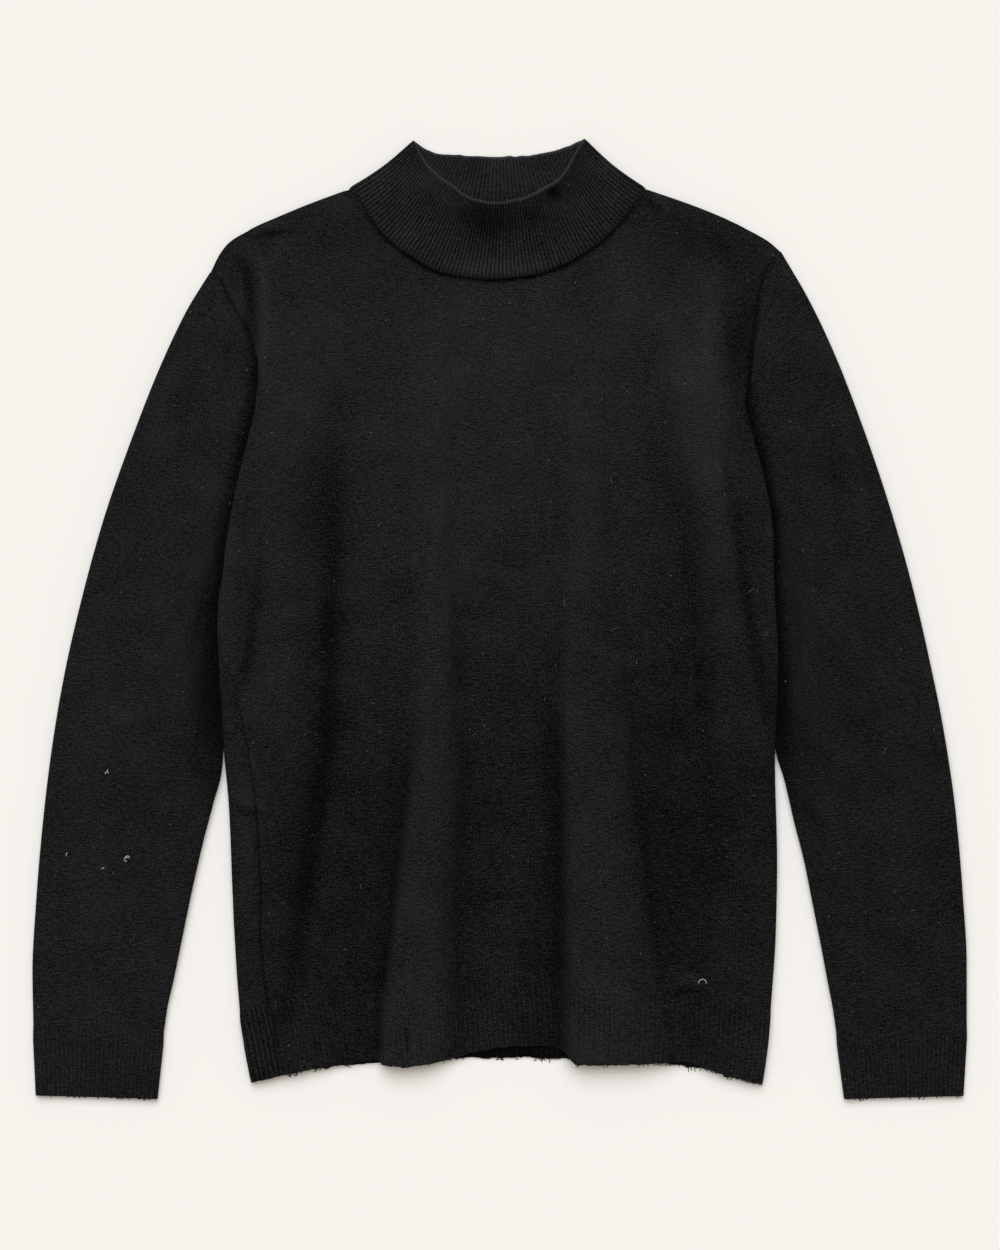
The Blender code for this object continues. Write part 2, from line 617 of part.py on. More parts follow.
def flat_tube_ring(upper, lower, top_height, spacings):
    """One ring of a tube that lies on the surface. upper and lower are its two lines from end to end in
    plan, top_height gives the middle of the upper cloth by share, and spacings the places by share."""
    ring = []
    for line, shares, is_upper in ((upper, spacings[0], True), (lower, spacings[1], False)):
        length = np.linalg.norm(np.diff(line, axis=0), axis=1).sum()
        shares = np.asarray(shares)
        places = np.linspace(0, 1, len(line))
        plan = np.stack([np.interp(shares, places, line[:, axis]) for axis in (0, 1)], axis=1)
        top = top_height(shares)
        radius = (top - REST) / 2
        from_end = np.minimum(shares, 1 - shares) * length
        round_part = np.sqrt(1 - (1 - np.clip(from_end / radius, 0, 1)) ** 2)
        height = REST + radius + radius * round_part * (1 if is_upper else -1)
        part = np.column_stack([plan, height])
        ring.append(part if is_upper else part[::-1][1:-1])
    return np.concatenate(ring)


END_STOPS = (0.0, 0.6, 2.0)    # columns round a tube's side bends, in radii of the bend


def tube_shares(length, radius, between):
    """Places across a tube: close together round its two side bends, and the given ones between them."""
    ends = np.array(END_STOPS) * radius / length
    return np.concatenate([ends, between, (1 - ends)[::-1]])


def armhole_shares(side):
    """Where the panels' rows meet an armhole, by share from its tip to the underarm."""
    tip, pit = ARMHOLES[side][-1].y, ARMHOLES[side][0].y
    upper = [LEVEL_ROW + (tip - LEVEL_ROW) * share for share in TOP_SHARES[:-3]]
    rows = [y for y in PANEL_ROWS if y > pit + 10] + upper
    return np.array([(tip - y) / (tip - pit) for y in reversed(rows)])


ARMHOLE_POINTS = 240
END_EASE = (1.4, 0.4)   # extra gap of the sleeve at the shoulder tip and at the underarm
SLEEVE_BOW = 36         # how far the middle of a sleeve's section bows in beside the armhole


def sewn_share(row):
    """How nearly a sleeve's section is the one that is sewn into the armhole, which bows in fully."""
    return np.clip((row.bow - 0.75) / 0.25, 0, 1)


def sleeve_line(side, row):
    """A sleeve's section line in plan, from its outer to its inner bend, with the armhole's bow."""
    armhole = ARMHOLES[side]
    share = np.linspace(0, 1, ARMHOLE_POINTS)
    tip, pit = armhole[-1], armhole[0]
    seam_y = tip.y + (pit.y - tip.y) * share
    ease_out = np.where(share < 0.5, *END_EASE) * (2 * share - 1) ** 8
    seam_out = read(armhole, "out", seam_y) + SEAM / 2 + ease_out
    at_seam = seam_out - (tip.out + (pit.out - tip.out) * share)
    sewn = sewn_share(row)
    bow_out = at_seam * sewn - SLEEVE_BOW * row.bow * np.sin(np.pi * share) ** 2 * (1 - sewn)
    hook_out = row.hook * np.sin(np.pi * share ** 4) * (1 - sewn)
    out = row.outer_x + (row.inner_x - row.outer_x) * share + bow_out + hook_out
    y = row.outer_y + (row.inner_y - row.outer_y) * share
    chord = np.array([row.inner_x - row.outer_x, row.inner_y - row.outer_y])
    inset = chord / np.linalg.norm(chord) * CLOTH / 2
    line = np.column_stack([side * out, y])
    shift = np.outer(1 - 2 * share, inset * np.array([side, 1])) * (1 - sewn)
    return line + shift


def sleeve_heights(side, row):
    """How high the upper cloth lies across a sleeve's section."""
    armhole = ARMHOLES[side]

    def top_height(share):
        dip = np.clip(1 - (2 * share - 1) ** 4, 0, 1)
        own = row.bend + (row.level - row.bend) * dip
        seam_y = armhole[-1].y + (armhole[0].y - armhole[-1].y) * share
        at_seam = read(armhole, "sleeve", seam_y)
        return own + (at_seam - own) * sewn_share(row)
    return top_height


def sleeve_ring(side, row):
    line = sleeve_line(side, row)
    length = np.linalg.norm(np.diff(line, axis=0), axis=1).sum()
    shares = tube_shares(length, (row.bend - REST) / 2, armhole_shares(side))
    ring = flat_tube_ring(line, line, sleeve_heights(side, row), (shares, shares))
    return ring if side == RIGHT else ring[::-1]


def between_rows(rows, share):
    """A row part of the way through a table, by its share of the table's length."""
    knots = np.linspace(0, 1, len(rows))
    return type(rows[0])(*(float(through(knots, column(rows, name), share)) for name in rows[0]._fields))


def sleeve_grid(side):
    rings = []
    for step in range(SLEEVE_RINGS):
        row = between_rows(SLEEVES[side], step / (SLEEVE_RINGS - 1))
        if step == 0:
            row = row._replace(outer_y=row.outer_y + SEAM, inner_y=row.inner_y + SEAM)
        rings.append(sleeve_ring(side, row))
    return np.array(rings)


# Making the meshes

def in_metres(points):
    return ((points.reshape(-1, 3) - MIDDLE) * MM).tolist()


def add_object(name, mesh, colour, collection):
    material = bpy.data.materials.new(name)
    material.use_nodes = True
    shader = material.node_tree.nodes["Principled BSDF"]
    shader.inputs["Base Color"].default_value = colour
    shader.inputs["Roughness"].default_value = KNIT_ROUGHNESS
    shader.inputs["Metallic"].default_value = 0.0
    mesh.materials.append(material)
    mesh.shade_smooth()
    mesh.set_sharp_from_angle(angle=np.radians(50))
    piece = bpy.data.objects.new(name, mesh)
    collection.objects.link(piece)
    return piece


def panel(name, grid, closed, collection):
    """A plain knit piece: its middle surface as an open sheet or tube, with the cloth's thickness."""
    rows, columns = grid.shape[:2]
    faces = []
    for row in range(rows - 1):
        for place in range(columns if closed else columns - 1):
            beside = (place + 1) % columns
            corners = (row * columns + place, row * columns + beside)
            faces.append((*corners, corners[1] + columns, corners[0] + columns))
    mesh = bpy.data.meshes.new(name)
    mesh.from_pydata(in_metres(grid), [], faces)
    piece = add_object(name, mesh, JERSEY_COLOUR, collection)
    wall = piece.modifiers.new("Cloth", "SOLIDIFY")
    wall.thickness = CLOTH * MM
    wall.offset = 0
    wall.use_rim = True
    return piece


def normals_of(grid, closed):
    """Outward directions of a grid of points. An open wall keeps square to the length of the body."""
    if closed:
        across = np.roll(grid, -1, axis=1) - np.roll(grid, 1, axis=1)
        up = np.gradient(grid, axis=0)
    else:
        across = np.gradient(grid, axis=1)
        up = np.broadcast_to([0.0, 1.0, 0.0], grid.shape)
    normals = np.cross(across, up)
    return normals / np.linalg.norm(normals, axis=2, keepdims=True)


def strip(first, first_at, second, second_at):
    """Triangles between two rows of corners. Each corner has its place along the row, because the rows
    may hold different numbers of corners."""
    faces = []
    one = other = 0
    last_one, last_other = len(first) - 1, len(second) - 1
    while one < last_one or other < last_other:
        if other == last_other or (one < last_one and first_at[one + 1] <= second_at[other + 1]):
            faces.append((int(first[one]), int(first[one + 1]), int(second[other])))
            one += 1
        else:
            faces.append((int(first[one]), int(second[other + 1]), int(second[other])))
            other += 1
    return faces


def ribbed_wall(name, grid, relief, inner_columns, closed, collection):
    """A rib knit piece: ribs raised on the outer side of its cloth, over a plain inner side."""
    normals = normals_of(grid, closed)
    outer = grid + normals * (CLOTH / 2 + relief[..., None])
    inner = (grid - normals * CLOTH / 2)[:, inner_columns]
    rows, columns = grid.shape[:2]
    outer_index = np.arange(rows * columns).reshape(rows, columns)
    inner_index = np.arange(rows * len(inner_columns)).reshape(rows, -1) + outer_index.size
    outer_at = np.arange(columns)
    inner_at = np.array(inner_columns)
    if closed:
        outer_index = np.column_stack([outer_index, outer_index[:, 0]])
        inner_index = np.column_stack([inner_index, inner_index[:, 0]])
        outer_at = np.append(outer_at, columns)
        inner_at = np.append(inner_at, columns)
    faces = []
    for row in range(rows - 1):
        faces += strip(outer_index[row], outer_at, outer_index[row + 1], outer_at)
        faces += strip(inner_index[row + 1], inner_at, inner_index[row], inner_at)
    faces += strip(outer_index[-1], outer_at, inner_index[-1], inner_at)
    faces += strip(inner_index[0], inner_at, outer_index[0], outer_at)
    if not closed:
        up = np.arange(rows)
        faces += strip(outer_index[:, 0], up, inner_index[:, 0], up)
        faces += strip(inner_index[:, -1], up, outer_index[:, -1], up)
    points = np.concatenate([outer.reshape(-1, 3), inner.reshape(-1, 3)])
    mesh = bpy.data.meshes.new(name)
    mesh.from_pydata(in_metres(points), [], faces)
    return add_object(name, mesh, RIB_COLOUR, collection)


# Rib pieces

HEM_ROWS = 3
HEM_INNER_EVERY = 2
RIB_START = 3.0         # ribs are raised where the cloth's middle stands at least this high


def hem_lines(across, band_line, columns):
    """The cloth of a hem band along lines from its lower edge up to the rib line."""
    lines = []
    for step in range(HEM_ROWS - 1):
        share = step / (HEM_ROWS - 1)
        lines.append(across(lambda x, share=share: band_line(x, share), columns))
    lines.append(across(band_line, columns, shift=-SEAM))
    return lines


def front_hem_rib(collection):
    lines = hem_lines(front_across, front_band_line, front_columns())
    length = np.linalg.norm(np.diff(lines[0], axis=0), axis=1).sum()
    ribs = int(length / HEM_RIB_PITCH)
    grid = np.array([spread(line, 2 * ribs + 1) for line in lines])
    relief = np.zeros(grid.shape[:2])
    relief[:, 1::2] = RIB_RISE
    relief = np.where(grid[..., 2] > RIB_START, relief, 0)
    inner = np.append(np.arange(0, 2 * ribs, HEM_INNER_EVERY), 2 * ribs)
    ribbed_wall("front_hem_rib", grid, relief, inner, False, collection)


RIGHT_ROLL_POINTS = 27


def back_hem_rib(collection):
    tail = BACK_TAIL_COLUMNS + 1
    grid = []
    for line in hem_lines(back_across, back_band_line, back_columns()):
        floor, roll = line[:-tail], line[-tail:]
        grid.append(np.concatenate([floor, spread(roll, RIGHT_ROLL_POINTS)]))
    grid = np.array(grid)
    relief = np.zeros(grid.shape[:2])
    relief[:, -RIGHT_ROLL_POINTS + 1::2] = RIB_RISE
    relief = np.where(grid[..., 2] > RIB_START, relief, 0)
    ribbed_wall("back_hem_rib", grid, relief, np.arange(grid.shape[1]), False, collection)


CUFF_ROWS = 4
CUFF_INNER_EVERY = 3


def cuff(side, name, collection):
    top = SLEEVES[side][0]
    rings = []
    for step in range(CUFF_ROWS):
        share = step / (CUFF_ROWS - 1)
        mixed = [low + (high - low) * share for low, high in zip(CUFF_END[side], top)]
        row = SleeveRow(*mixed)
        line = sleeve_line(side, row)
        upper = np.linspace(0, 1, 2 * CUFF_RIBS + 1)
        length = np.linalg.norm(line[-1] - line[0])
        radius = (row.bend - REST) / 2
        under = tube_shares(length, radius, (0.25, 0.5, 0.75))
        rings.append(flat_tube_ring(line, line, sleeve_heights(side, row), (upper, under)))
    grid = np.array(rings)
    relief = np.zeros(grid.shape[:2])
    relief[:, 1:2 * CUFF_RIBS:2] = RIB_RISE
    inner = np.append(np.arange(0, 2 * CUFF_RIBS, CUFF_INNER_EVERY), np.arange(2 * CUFF_RIBS, grid.shape[1]))
    if side == LEFT:
        grid = grid[:, ::-1]
        relief = relief[:, ::-1]
        inner = np.sort(grid.shape[1] - 1 - inner)
    ribbed_wall(name, grid, relief, inner, True, collection)


COLLAR_ROWS = 6
COLLAR_INNER_EVERY = 4
COLLAR_UNDER_COLUMNS = 12


def collar_line(table, count):
    """A line of the collar in plan, smooth through its table and even along its length."""
    x = np.linspace(table[0].x, table[-1].x, 400)
    y = read(table, "y", x, along="x")
    return spread(np.column_stack([x, y]), count)


def neck_edge(grid, count):
    """The neck edge of a panel in plan, from the wearer's right to the left, a seam's gap away."""
    top = grid[-1, :, :2]
    top = top[np.argsort(top[:, 0])]
    in_neck = (top[:, 0] > FRONT_NECK[0].x - SEAM) & (top[:, 0] < FRONT_NECK[-1].x + SEAM)
    return spread(top[in_neck] + np.array([0, SEAM]), count)


def collar(front, back, collection):
    points = 2 * COLLAR_RIBS + 1
    base_front = neck_edge(front, points)
    base_back = neck_edge(back, points)
    top_front = collar_line(COLLAR_FRONT, points)
    top_back = collar_line(COLLAR_BACK, points)
    rings = []
    for step in range(COLLAR_ROWS):
        share = step / (COLLAR_ROWS - 1)
        upper = base_front + (top_front - base_front) * share
        lower = base_back + (top_back - base_back) * share
        bend = float(read(COLLAR_RISE, "bend", share, along="share"))
        mid = float(read(COLLAR_RISE, "mid", share, along="share"))

        def top_height(place, bend=bend, mid=mid):
            return bend + (mid - bend) * np.sin(np.pi * place) ** 2
        length = np.linalg.norm(np.diff(lower, axis=0), axis=1).sum()
        between = np.linspace(0, 1, COLLAR_UNDER_COLUMNS + 2)[1:-1]
        under = tube_shares(length, (bend - REST) / 2, between)
        rings.append(flat_tube_ring(upper, lower, top_height, (np.linspace(0, 1, points), under)))
    grid = np.array(rings)
    relief = np.zeros(grid.shape[:2])
    relief[:, 1:points - 1:2] = RIB_RISE
    inner = np.append(np.arange(0, points - 1, COLLAR_INNER_EVERY), np.arange(points - 1, grid.shape[1]))
    ribbed_wall("collar", grid, relief, inner, True, collection)


def main():
    for old in list(bpy.data.objects):
        bpy.data.objects.remove(old)
    sweater = bpy.data.collections.new("turtleneck_sweater")
    bpy.context.scene.collection.children.link(sweater)
    front, back = front_grid(), back_grid()
    panel("front_panel", front, False, sweater)
    panel("back_panel", back, False, sweater)
    panel("sleeve_right", sleeve_grid(RIGHT), True, sweater)
    panel("sleeve_left", sleeve_grid(LEFT), True, sweater)
    front_hem_rib(sweater)
    back_hem_rib(sweater)
    cuff(RIGHT, "cuff_right", sweater)
    cuff(LEFT, "cuff_left", sweater)
    collar(front, back, sweater)


main()
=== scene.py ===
# %% The frame
from collections import namedtuple
from functools import lru_cache

import bmesh
import bpy
import numpy as np
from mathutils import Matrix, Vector
from mathutils.bvhtree import BVHTree


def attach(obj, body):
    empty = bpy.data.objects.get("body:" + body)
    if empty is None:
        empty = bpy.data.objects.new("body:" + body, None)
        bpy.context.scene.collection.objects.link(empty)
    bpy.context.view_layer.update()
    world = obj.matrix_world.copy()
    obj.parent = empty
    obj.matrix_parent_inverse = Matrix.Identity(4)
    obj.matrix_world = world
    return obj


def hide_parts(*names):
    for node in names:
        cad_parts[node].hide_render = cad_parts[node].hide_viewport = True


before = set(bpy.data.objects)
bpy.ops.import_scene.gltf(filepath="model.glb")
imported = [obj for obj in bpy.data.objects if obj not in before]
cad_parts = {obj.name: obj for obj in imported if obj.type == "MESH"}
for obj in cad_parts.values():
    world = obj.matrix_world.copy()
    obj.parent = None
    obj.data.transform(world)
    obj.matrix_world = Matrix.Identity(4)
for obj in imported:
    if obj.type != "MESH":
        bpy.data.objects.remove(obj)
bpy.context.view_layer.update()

print("frame nodes:", len(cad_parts))

# %% [markdown]
# A knitted pullover that lies flat. Every piece of it is cloth, so each one is worked out as the middle
# surface of its cloth, in millimetres, and then gets its thickness. The wearer's left sleeve is at +X and
# the collar points to +Y. Most shapes need only a smooth line through a few measured places: it gives an
# outline that is easy to correct, one row of a table at a time.

# %% Units, tables and smooth lines
MM = 0.001
LEFT = 1
RIGHT = -1
MIDDLE = (-0.31, 0.34, 0.0)     # the middle of the sweater's outline, which is the origin
CLOTH = 1.4             # thickness of the knit
SEAM = 0.3              # gap between two pieces where they are sewn
REST = CLOTH / 2        # height of the middle of cloth that lies on the surface


def table(columns, rows):
    """Rows of numbers with named columns."""
    Row = namedtuple("Row", columns)
    return tuple(Row(*row) for row in rows)


@lru_cache(maxsize=None)
def column(rows, name):
    """One column of a table as an array."""
    return np.array([getattr(row, name) for row in rows], float)


def through(knots, values, at):
    """A smooth line through a table's values that never swings past them."""
    at = np.clip(at, knots[0], knots[-1])
    steps = np.diff(knots)
    slopes = np.diff(values) / steps
    before, after = slopes[:-1], slopes[1:]
    same_way = before * after > 0
    turning = np.where(same_way, 2 * before * after / np.where(same_way, before + after, 1), 0)
    tangents = np.concatenate((slopes[:1], turning, slopes[-1:]))
    cell = np.clip(np.searchsorted(knots, at, "right") - 1, 0, len(steps) - 1)
    share = (at - knots[cell]) / steps[cell]
    rest = 1 - share
    level = values[cell] * rest * rest * (1 + 2 * share) + values[cell + 1] * share * share * (3 - 2 * share)
    swing = tangents[cell] * rest * rest * share - tangents[cell + 1] * share * share * rest
    return level + swing * steps[cell]


def read(rows, name, at, along="y"):
    """A table's column read at any place along it."""
    return through(column(rows, along), column(rows, name), at)


def ease(share):
    """0 to 1 with a soft start and end."""
    share = np.clip(share, 0, 1)
    return share * share * (3 - 2 * share)


def spread(points, count):
    """The same line with count points evenly spaced along it."""
    lengths = np.linalg.norm(np.diff(points, axis=0), axis=1)
    along = np.concatenate(([0], np.cumsum(lengths)))
    places = np.linspace(0, along[-1], count)
    return np.stack([np.interp(places, along, points[:, axis]) for axis in range(points.shape[1])], axis=1)


# %% [markdown]
# Real hems, necks and shoulders of knitwear are soft curves, because knit stretches. The outline of the
# body is kept as short tables of points across it: the hem, the rib line, the shoulders and the neck.

# %% Outline of the body
PLACE = "x y"
HEM_LINE = table(PLACE, (
    (-210, -364), (-193, -361), (-169, -354.7), (-134, -348.6), (-95, -343.6), (-89, -346), (-76, -348),
    (-58, -345.6), (-35, -341.8), (-20, -336.8), (4, -333), (36, -332), (50, -336), (60, -346.6),
    (98, -346), (145, -345), (164, -351), (188, -358.4), (214, -363),
))
RIB_LINE = table(PLACE, (
    (-210, -305), (-152, -296), (-91, -291), (-58, -292.5), (-22, -277), (30, -274.8), (66, -286.5),
    (98, -289), (160, -293), (214, -305),
))
BACK_HEM_LINE = table(PLACE, (
    (-210, -364), (-193, -361), (-169, -354.7), (-100, -346), (0, -341.6), (90, -343.5), (164, -351),
    (188, -358.4), (214, -363),
))
SHOULDERS = {
    RIGHT: table(PLACE, (
        (117, 334.8), (150.5, 322.4), (173, 313), (194, 303.7), (210.6, 294), (218.6, 284), (225.2, 270.5),
    )),
    LEFT: table(PLACE, (
        (113, 334.8), (149, 322.4), (172.4, 313), (192.7, 303.7), (209.8, 294), (214.5, 290),
        (218.4, 286.5),
    )),
}
FRONT_NECK = table(PLACE, (
    (-117, 334.8), (-108.4, 324.7), (-91.3, 299.8), (-67, 281), (-46, 270.3), (-8.6, 264.9), (26.5, 268.4),
    (51.5, 277.1), (79.6, 295.1), (99.1, 316.1), (113, 334.8),
))
BACK_NECK_DROP = 28
SHOULDER_BEND = 7       # how far below the shoulder line the front starts to turn down
LEVEL_ROW = 190         # below this the rows are level, above it they spread to the shoulders and neck
HEM_BAND = 58.5


def y_at(line, x):
    return read(line, "y", x, along="x")


def front_neck_y(x):
    return y_at(FRONT_NECK, x)


def back_neck_y(x):
    right, left = FRONT_NECK[0], FRONT_NECK[-1]
    from_middle = (2 * x - right.x - left.x) / (left.x - right.x)
    return right.y - BACK_NECK_DROP * np.clip(1 - from_middle ** 2, 0, 1) ** 0.8


def top_y(x, neck_y):
    """The upper outline of a panel: its shoulders, and between them its neck line."""
    shoulders = np.where(x < 0, y_at(SHOULDERS[RIGHT], -x), y_at(SHOULDERS[LEFT], x))
    in_neck = (x > FRONT_NECK[0].x) & (x < FRONT_NECK[-1].x)
    return np.where(in_neck, neck_y(x), shoulders)


def front_band_line(x, share=1.0):
    """A line across the front's rib band: its lower edge at share 0, the rib line at 1."""
    low = y_at(HEM_LINE, x)
    return low + (y_at(RIB_LINE, x) - low) * share


def back_band_line(x, share=1.0):
    return y_at(BACK_HEM_LINE, x) + HEM_BAND * share


print("rib band in the middle:", front_band_line(0, 0.0), "to", front_band_line(0))

# %% [markdown]
# The front is wider than the body lies, so its cloth turns down at each side. On the wearer's right the
# side seam has rolled onto the top; on the left it stays underneath. Each row says how far out the side
# lies, how round it is and how far the seam has travelled round it.

# %% Sides and armholes
# The body's two sides, from the hem up. edge is how far out from the middle the body's outline is. There
# the front turns down round a bend of the given radius, to cloth at the height under. seam is the length
# of cloth from the top of that bend to the seam: below zero the seam lies on top of the body, and past
# half a turn it is underneath.
BODY_SIDES = {
    RIGHT: table("y edge radius under seam", (
        (-362, 192.7, 3, 0.7, -22), (-330, 198.9, 3, 0.7, -22), (-297, 202.8, 3.2, 0.7, -19),
        (-250, 205.9, 3.2, 0.7, -16.5), (-209, 208, 3.2, 0.7, -19), (-148, 210.4, 3.2, 0.7, -18),
        (-97, 214.8, 3.2, 0.7, -15), (-64, 216.7, 3.2, 0.7, -9.6), (-48, 217.6, 3.2, 0.8, -6),
        (-34, 218.2, 3, 2.3, -0.1), (-20, 218.9, 2.8, 4.3, 3.9), (-8, 219.2, 2.7, 6, 10.1),
        (2, 219.1, 2.7, 6, 12.7), (14, 218.2, 2.7, 6, 15), (32, 215.5, 2.7, 6, 16), (57, 212.7, 2.7, 6, 16),
        (86, 207.9, 2.7, 6, 16), (109, 203.2, 2.7, 6, 16), (138, 196, 2.7, 6, 16), (146, 193.8, 2.7, 6, 15),
        (168, 189.3, 2.7, 6, 10.5), (190, 187.7, 2.7, 6, 6), (202, 187.6, 2.4, 6, 3.6),
        (240, 184.8, 1.7, 4.4, 3), (268, 185.4, 1.2, 3.4, 3),
    )),
    LEFT: table("y edge radius under seam", (
        (-362, 203.6, 3.2, 0.7, 14), (-330, 208, 3.2, 0.7, 14), (-294, 210.9, 3.2, 0.7, 14),
        (-245, 214.1, 3.2, 0.7, 14), (-190, 215.2, 3.2, 0.7, 14), (-110, 213.5, 3.2, 0.7, 14),
        (-63, 215.4, 3.2, 0.7, 14), (-48, 215.8, 3.2, 1.4, 14), (-34, 216, 2.8, 4, 14),
        (-22, 215.6, 2.5, 6, 14.5), (28, 212.8, 2.7, 6, 16), (66, 212, 2.7, 6, 16),
        (106, 205.6, 2.7, 6, 15), (119, 202.5, 2.7, 6, 13), (146, 195.1, 2.7, 6, 8.5),
        (168, 189.8, 2.4, 6, 3.6), (198, 180.4, 2, 5, 3), (225, 178, 1.8, 4.4, 3), (286, 176, 1.2, 3.4, 3),
    )),
}
TAIL = 30               # how far in from each bend the columns follow the side
UNDER_REACH = 12        # how far in past the bend the back follows it

# The armhole seams, from the underarm up: how far out they lie, and the height there of the middle of
# the front's cloth and of the sleeve's upper cloth. They hide under the body's fold as far as the swing,
# where the front goes from being folded back over the seam to lying flat beside it.
ARMHOLES = {
    RIGHT: table("y out front sleeve", (
        (-16, 221, 5.6, 4), (4, 217.1, 5.6, 3.6), (16, 212, 5.6, 3.6), (36, 207, 5.6, 3.6),
        (60, 205, 5.6, 3.6), (86, 200, 5.6, 3.6), (109, 194.7, 5.6, 3.6), (146, 186.5, 5.6, 3.6),
        (168, 185.8, 5.6, 3.6), (190, 187.6, 5.6, 3.6), (202, 189.2, 5.6, 3.6), (214, 193.6, 5.2, 3.6),
        (226, 197.5, 4.4, 4), (249, 210.6, 4.2, 4.2), (262, 216.8, 3.6, 3.6), (270.5, 225.2, 2.5, 2.5),
    )),
    LEFT: table("y out front sleeve", (
        (-20, 215.3, 5.6, 3.7), (-6, 212.8, 5.6, 3.6), (4, 210.8, 5.6, 3.6), (16, 207, 5.6, 3.6),
        (36, 204.8, 5.6, 3.6), (66, 203.7, 5.6, 3.6), (106, 198, 5.6, 3.6), (119, 195.8, 5.6, 3.6),
        (146, 192.6, 5.6, 3.6), (168, 191.4, 5.6, 3.6), (180, 193.6, 5.2, 3.6), (198, 195.3, 4.4, 4),
        (218, 197.3, 4.2, 4.2), (249, 201.2, 4.2, 4.2), (267, 205, 4, 4), (279, 211, 3.4, 3.4),
        (286.5, 218.4, 2.5, 2.5),
    )),
}
SWING = {RIGHT: (196, 212), LEFT: (162, 178)}
print("body width at its widest:", sum(max(row.edge for row in BODY_SIDES[which]) for which in (RIGHT, LEFT)))

# %% [markdown]
# A loose front falls into folds when it is laid down. Two long ones run up from the hem and fade out on
# the chest, with a steep side and a gentle side each, as gravity leaves them.

# %% Long folds of the front
# Soft folds of the front: the crest, the width of its steeper and its gentler flank, and its rise.
FOLD = "y x steep gentle rise"
RIGHT_RIDGE = table(FOLD, (
    (-362, -88, 7, 56, 11.5), (-305, -86, 7, 58, 11), (-258, -80.5, 7, 52, 10.5), (-219, -75.5, 8, 46, 10),
    (-172, -70, 9, 41, 9), (-125, -63, 10, 34, 8), (-78, -58, 15, 29, 6.5), (15, -53, 20, 20, 4),
    (90, -55, 22, 18, 2.6), (150, -57, 24, 20, 1.4), (215, -58, 24, 24, 0),
))
LEFT_RIDGE = table(FOLD, (
    (-362, 60, 14, 90, 11.5), (-305, 60, 14, 88, 11), (-219, 59, 14, 76, 10), (-141, 57, 12, 64, 8.5),
    (-78, 54, 10, 56, 7), (-20, 56, 11, 44, 5), (60, 62, 18, 24, 3.2), (110, 66, 22, 18, 2.6),
    (170, 62, 26, 22, 1.8), (240, 60, 26, 24, 0),
))
RIGHT_PLEAT = table(FOLD, (
    (-362, -166, 12, 44, 0.8), (-316, -158, 12, 48, 1.2), (-219, -140, 12, 48, 1.8),
    (-141, -128, 12, 46, 1.8), (-78, -121, 12, 44, 1.8), (0, -118, 12, 40, 1.8), (93, -115, 12, 34, 1.4),
    (160, -112, 20, 30, 0),
))
RIGHT_SWELL = table(FOLD, (
    (-362, -196, 20, 26, 1), (-219, -182, 24, 30, 3), (-60, -176, 24, 36, 3.6), (93, -172, 24, 38, 2.4),
    (180, -168, 24, 34, 0.6), (230, -166, 24, 30, 0),
))
LEFT_SWELL = table(FOLD, (
    (-200, 200, 30, 16, 0), (-125, 194, 26, 20, 1.2), (-78, 187, 24, 26, 2.4), (-32, 181, 20, 28, 3.2),
    (15, 173, 15, 32, 3.8), (62, 164, 14, 32, 4.2), (109, 153, 14, 34, 4.2), (155, 143, 14, 44, 3.8),
    (202, 140, 18, 42, 2.8), (235, 130, 20, 46, 1.2), (262, 122, 20, 40, 0),
))
FRONT_FOLDS = (RIGHT_RIDGE, LEFT_RIDGE, RIGHT_PLEAT, RIGHT_SWELL, LEFT_SWELL)

# How high the middle of the front's cloth lies between its folds, and how far in from each side it
# takes to come down to that.
FRONT_LEVEL = table("y level", (
    (-362, 3.4), (0, 3.4), (150, 4.4), (264, 5.2), (335, 5.2),
))
SIDE_SLOPE = 38

# Lines that the front's columns follow: the two soft hollows beside the ridges, which end at the neck.
HOLLOWS = table("y right left", (
    (-362, -127, 166), (-200, -132, 164), (-100, -132, 158), (0, -130, 150), (171, -124, 125),
    (264, -118, 115), (335, -117, 110),
))
print("highest fold:", max(row.rise for fold in FRONT_FOLDS for row in fold), "mm")

# %% [markdown]
# In section, the front's height is its level plus its folds, and at each side its cloth turns down round
# a small bend. Beside an armhole it changes from lying folded over the seam to lying flat next to it.

# %% The body's cloth in section
def fold_rise(fold, x, y):
    from_crest = x - read(fold, "x", y)
    steep = from_crest < 0
    width = np.where(steep, read(fold, "steep", y), read(fold, "gentle", y))
    share = np.clip(np.abs(from_crest) / width, 0, 1)
    return read(fold, "rise", y) * (1 - share ** np.where(steep, 2, 4)) ** 2


def side_at(which, y):
    """A side's edge, bend radius, height under the bend and seam, at any place up the body."""
    return [read(BODY_SIDES[which], name, y) for name in ("edge", "radius", "under", "seam")]


def front_height(x, y):
    """Height of the middle of the front's cloth at a place on top of the body."""
    level = read(FRONT_LEVEL, "level", y)
    height = level
    for which in (RIGHT, LEFT):
        edge, radius, under, _ = side_at(which, y)
        inward = edge - radius - TAIL - which * x
        height = height + (under + 2 * radius - level) * (1 - ease(inward / SIDE_SLOPE))
    return height + sum(fold_rise(fold, x, y) for fold in FRONT_FOLDS)


def round_side(which, y, along, floor):
    """Place of cloth that turns round a side: how far out and how high."""
    edge, radius, under, _ = side_at(which, y)
    angle = np.clip(along / radius, 0, np.pi)
    out = (edge - radius + radius * np.sin(angle) + np.minimum(along, 0)
           - np.maximum(along - np.pi * radius, 0))
    return out, floor + (under + 2 * radius - floor) * (1 + np.cos(angle)) / 2


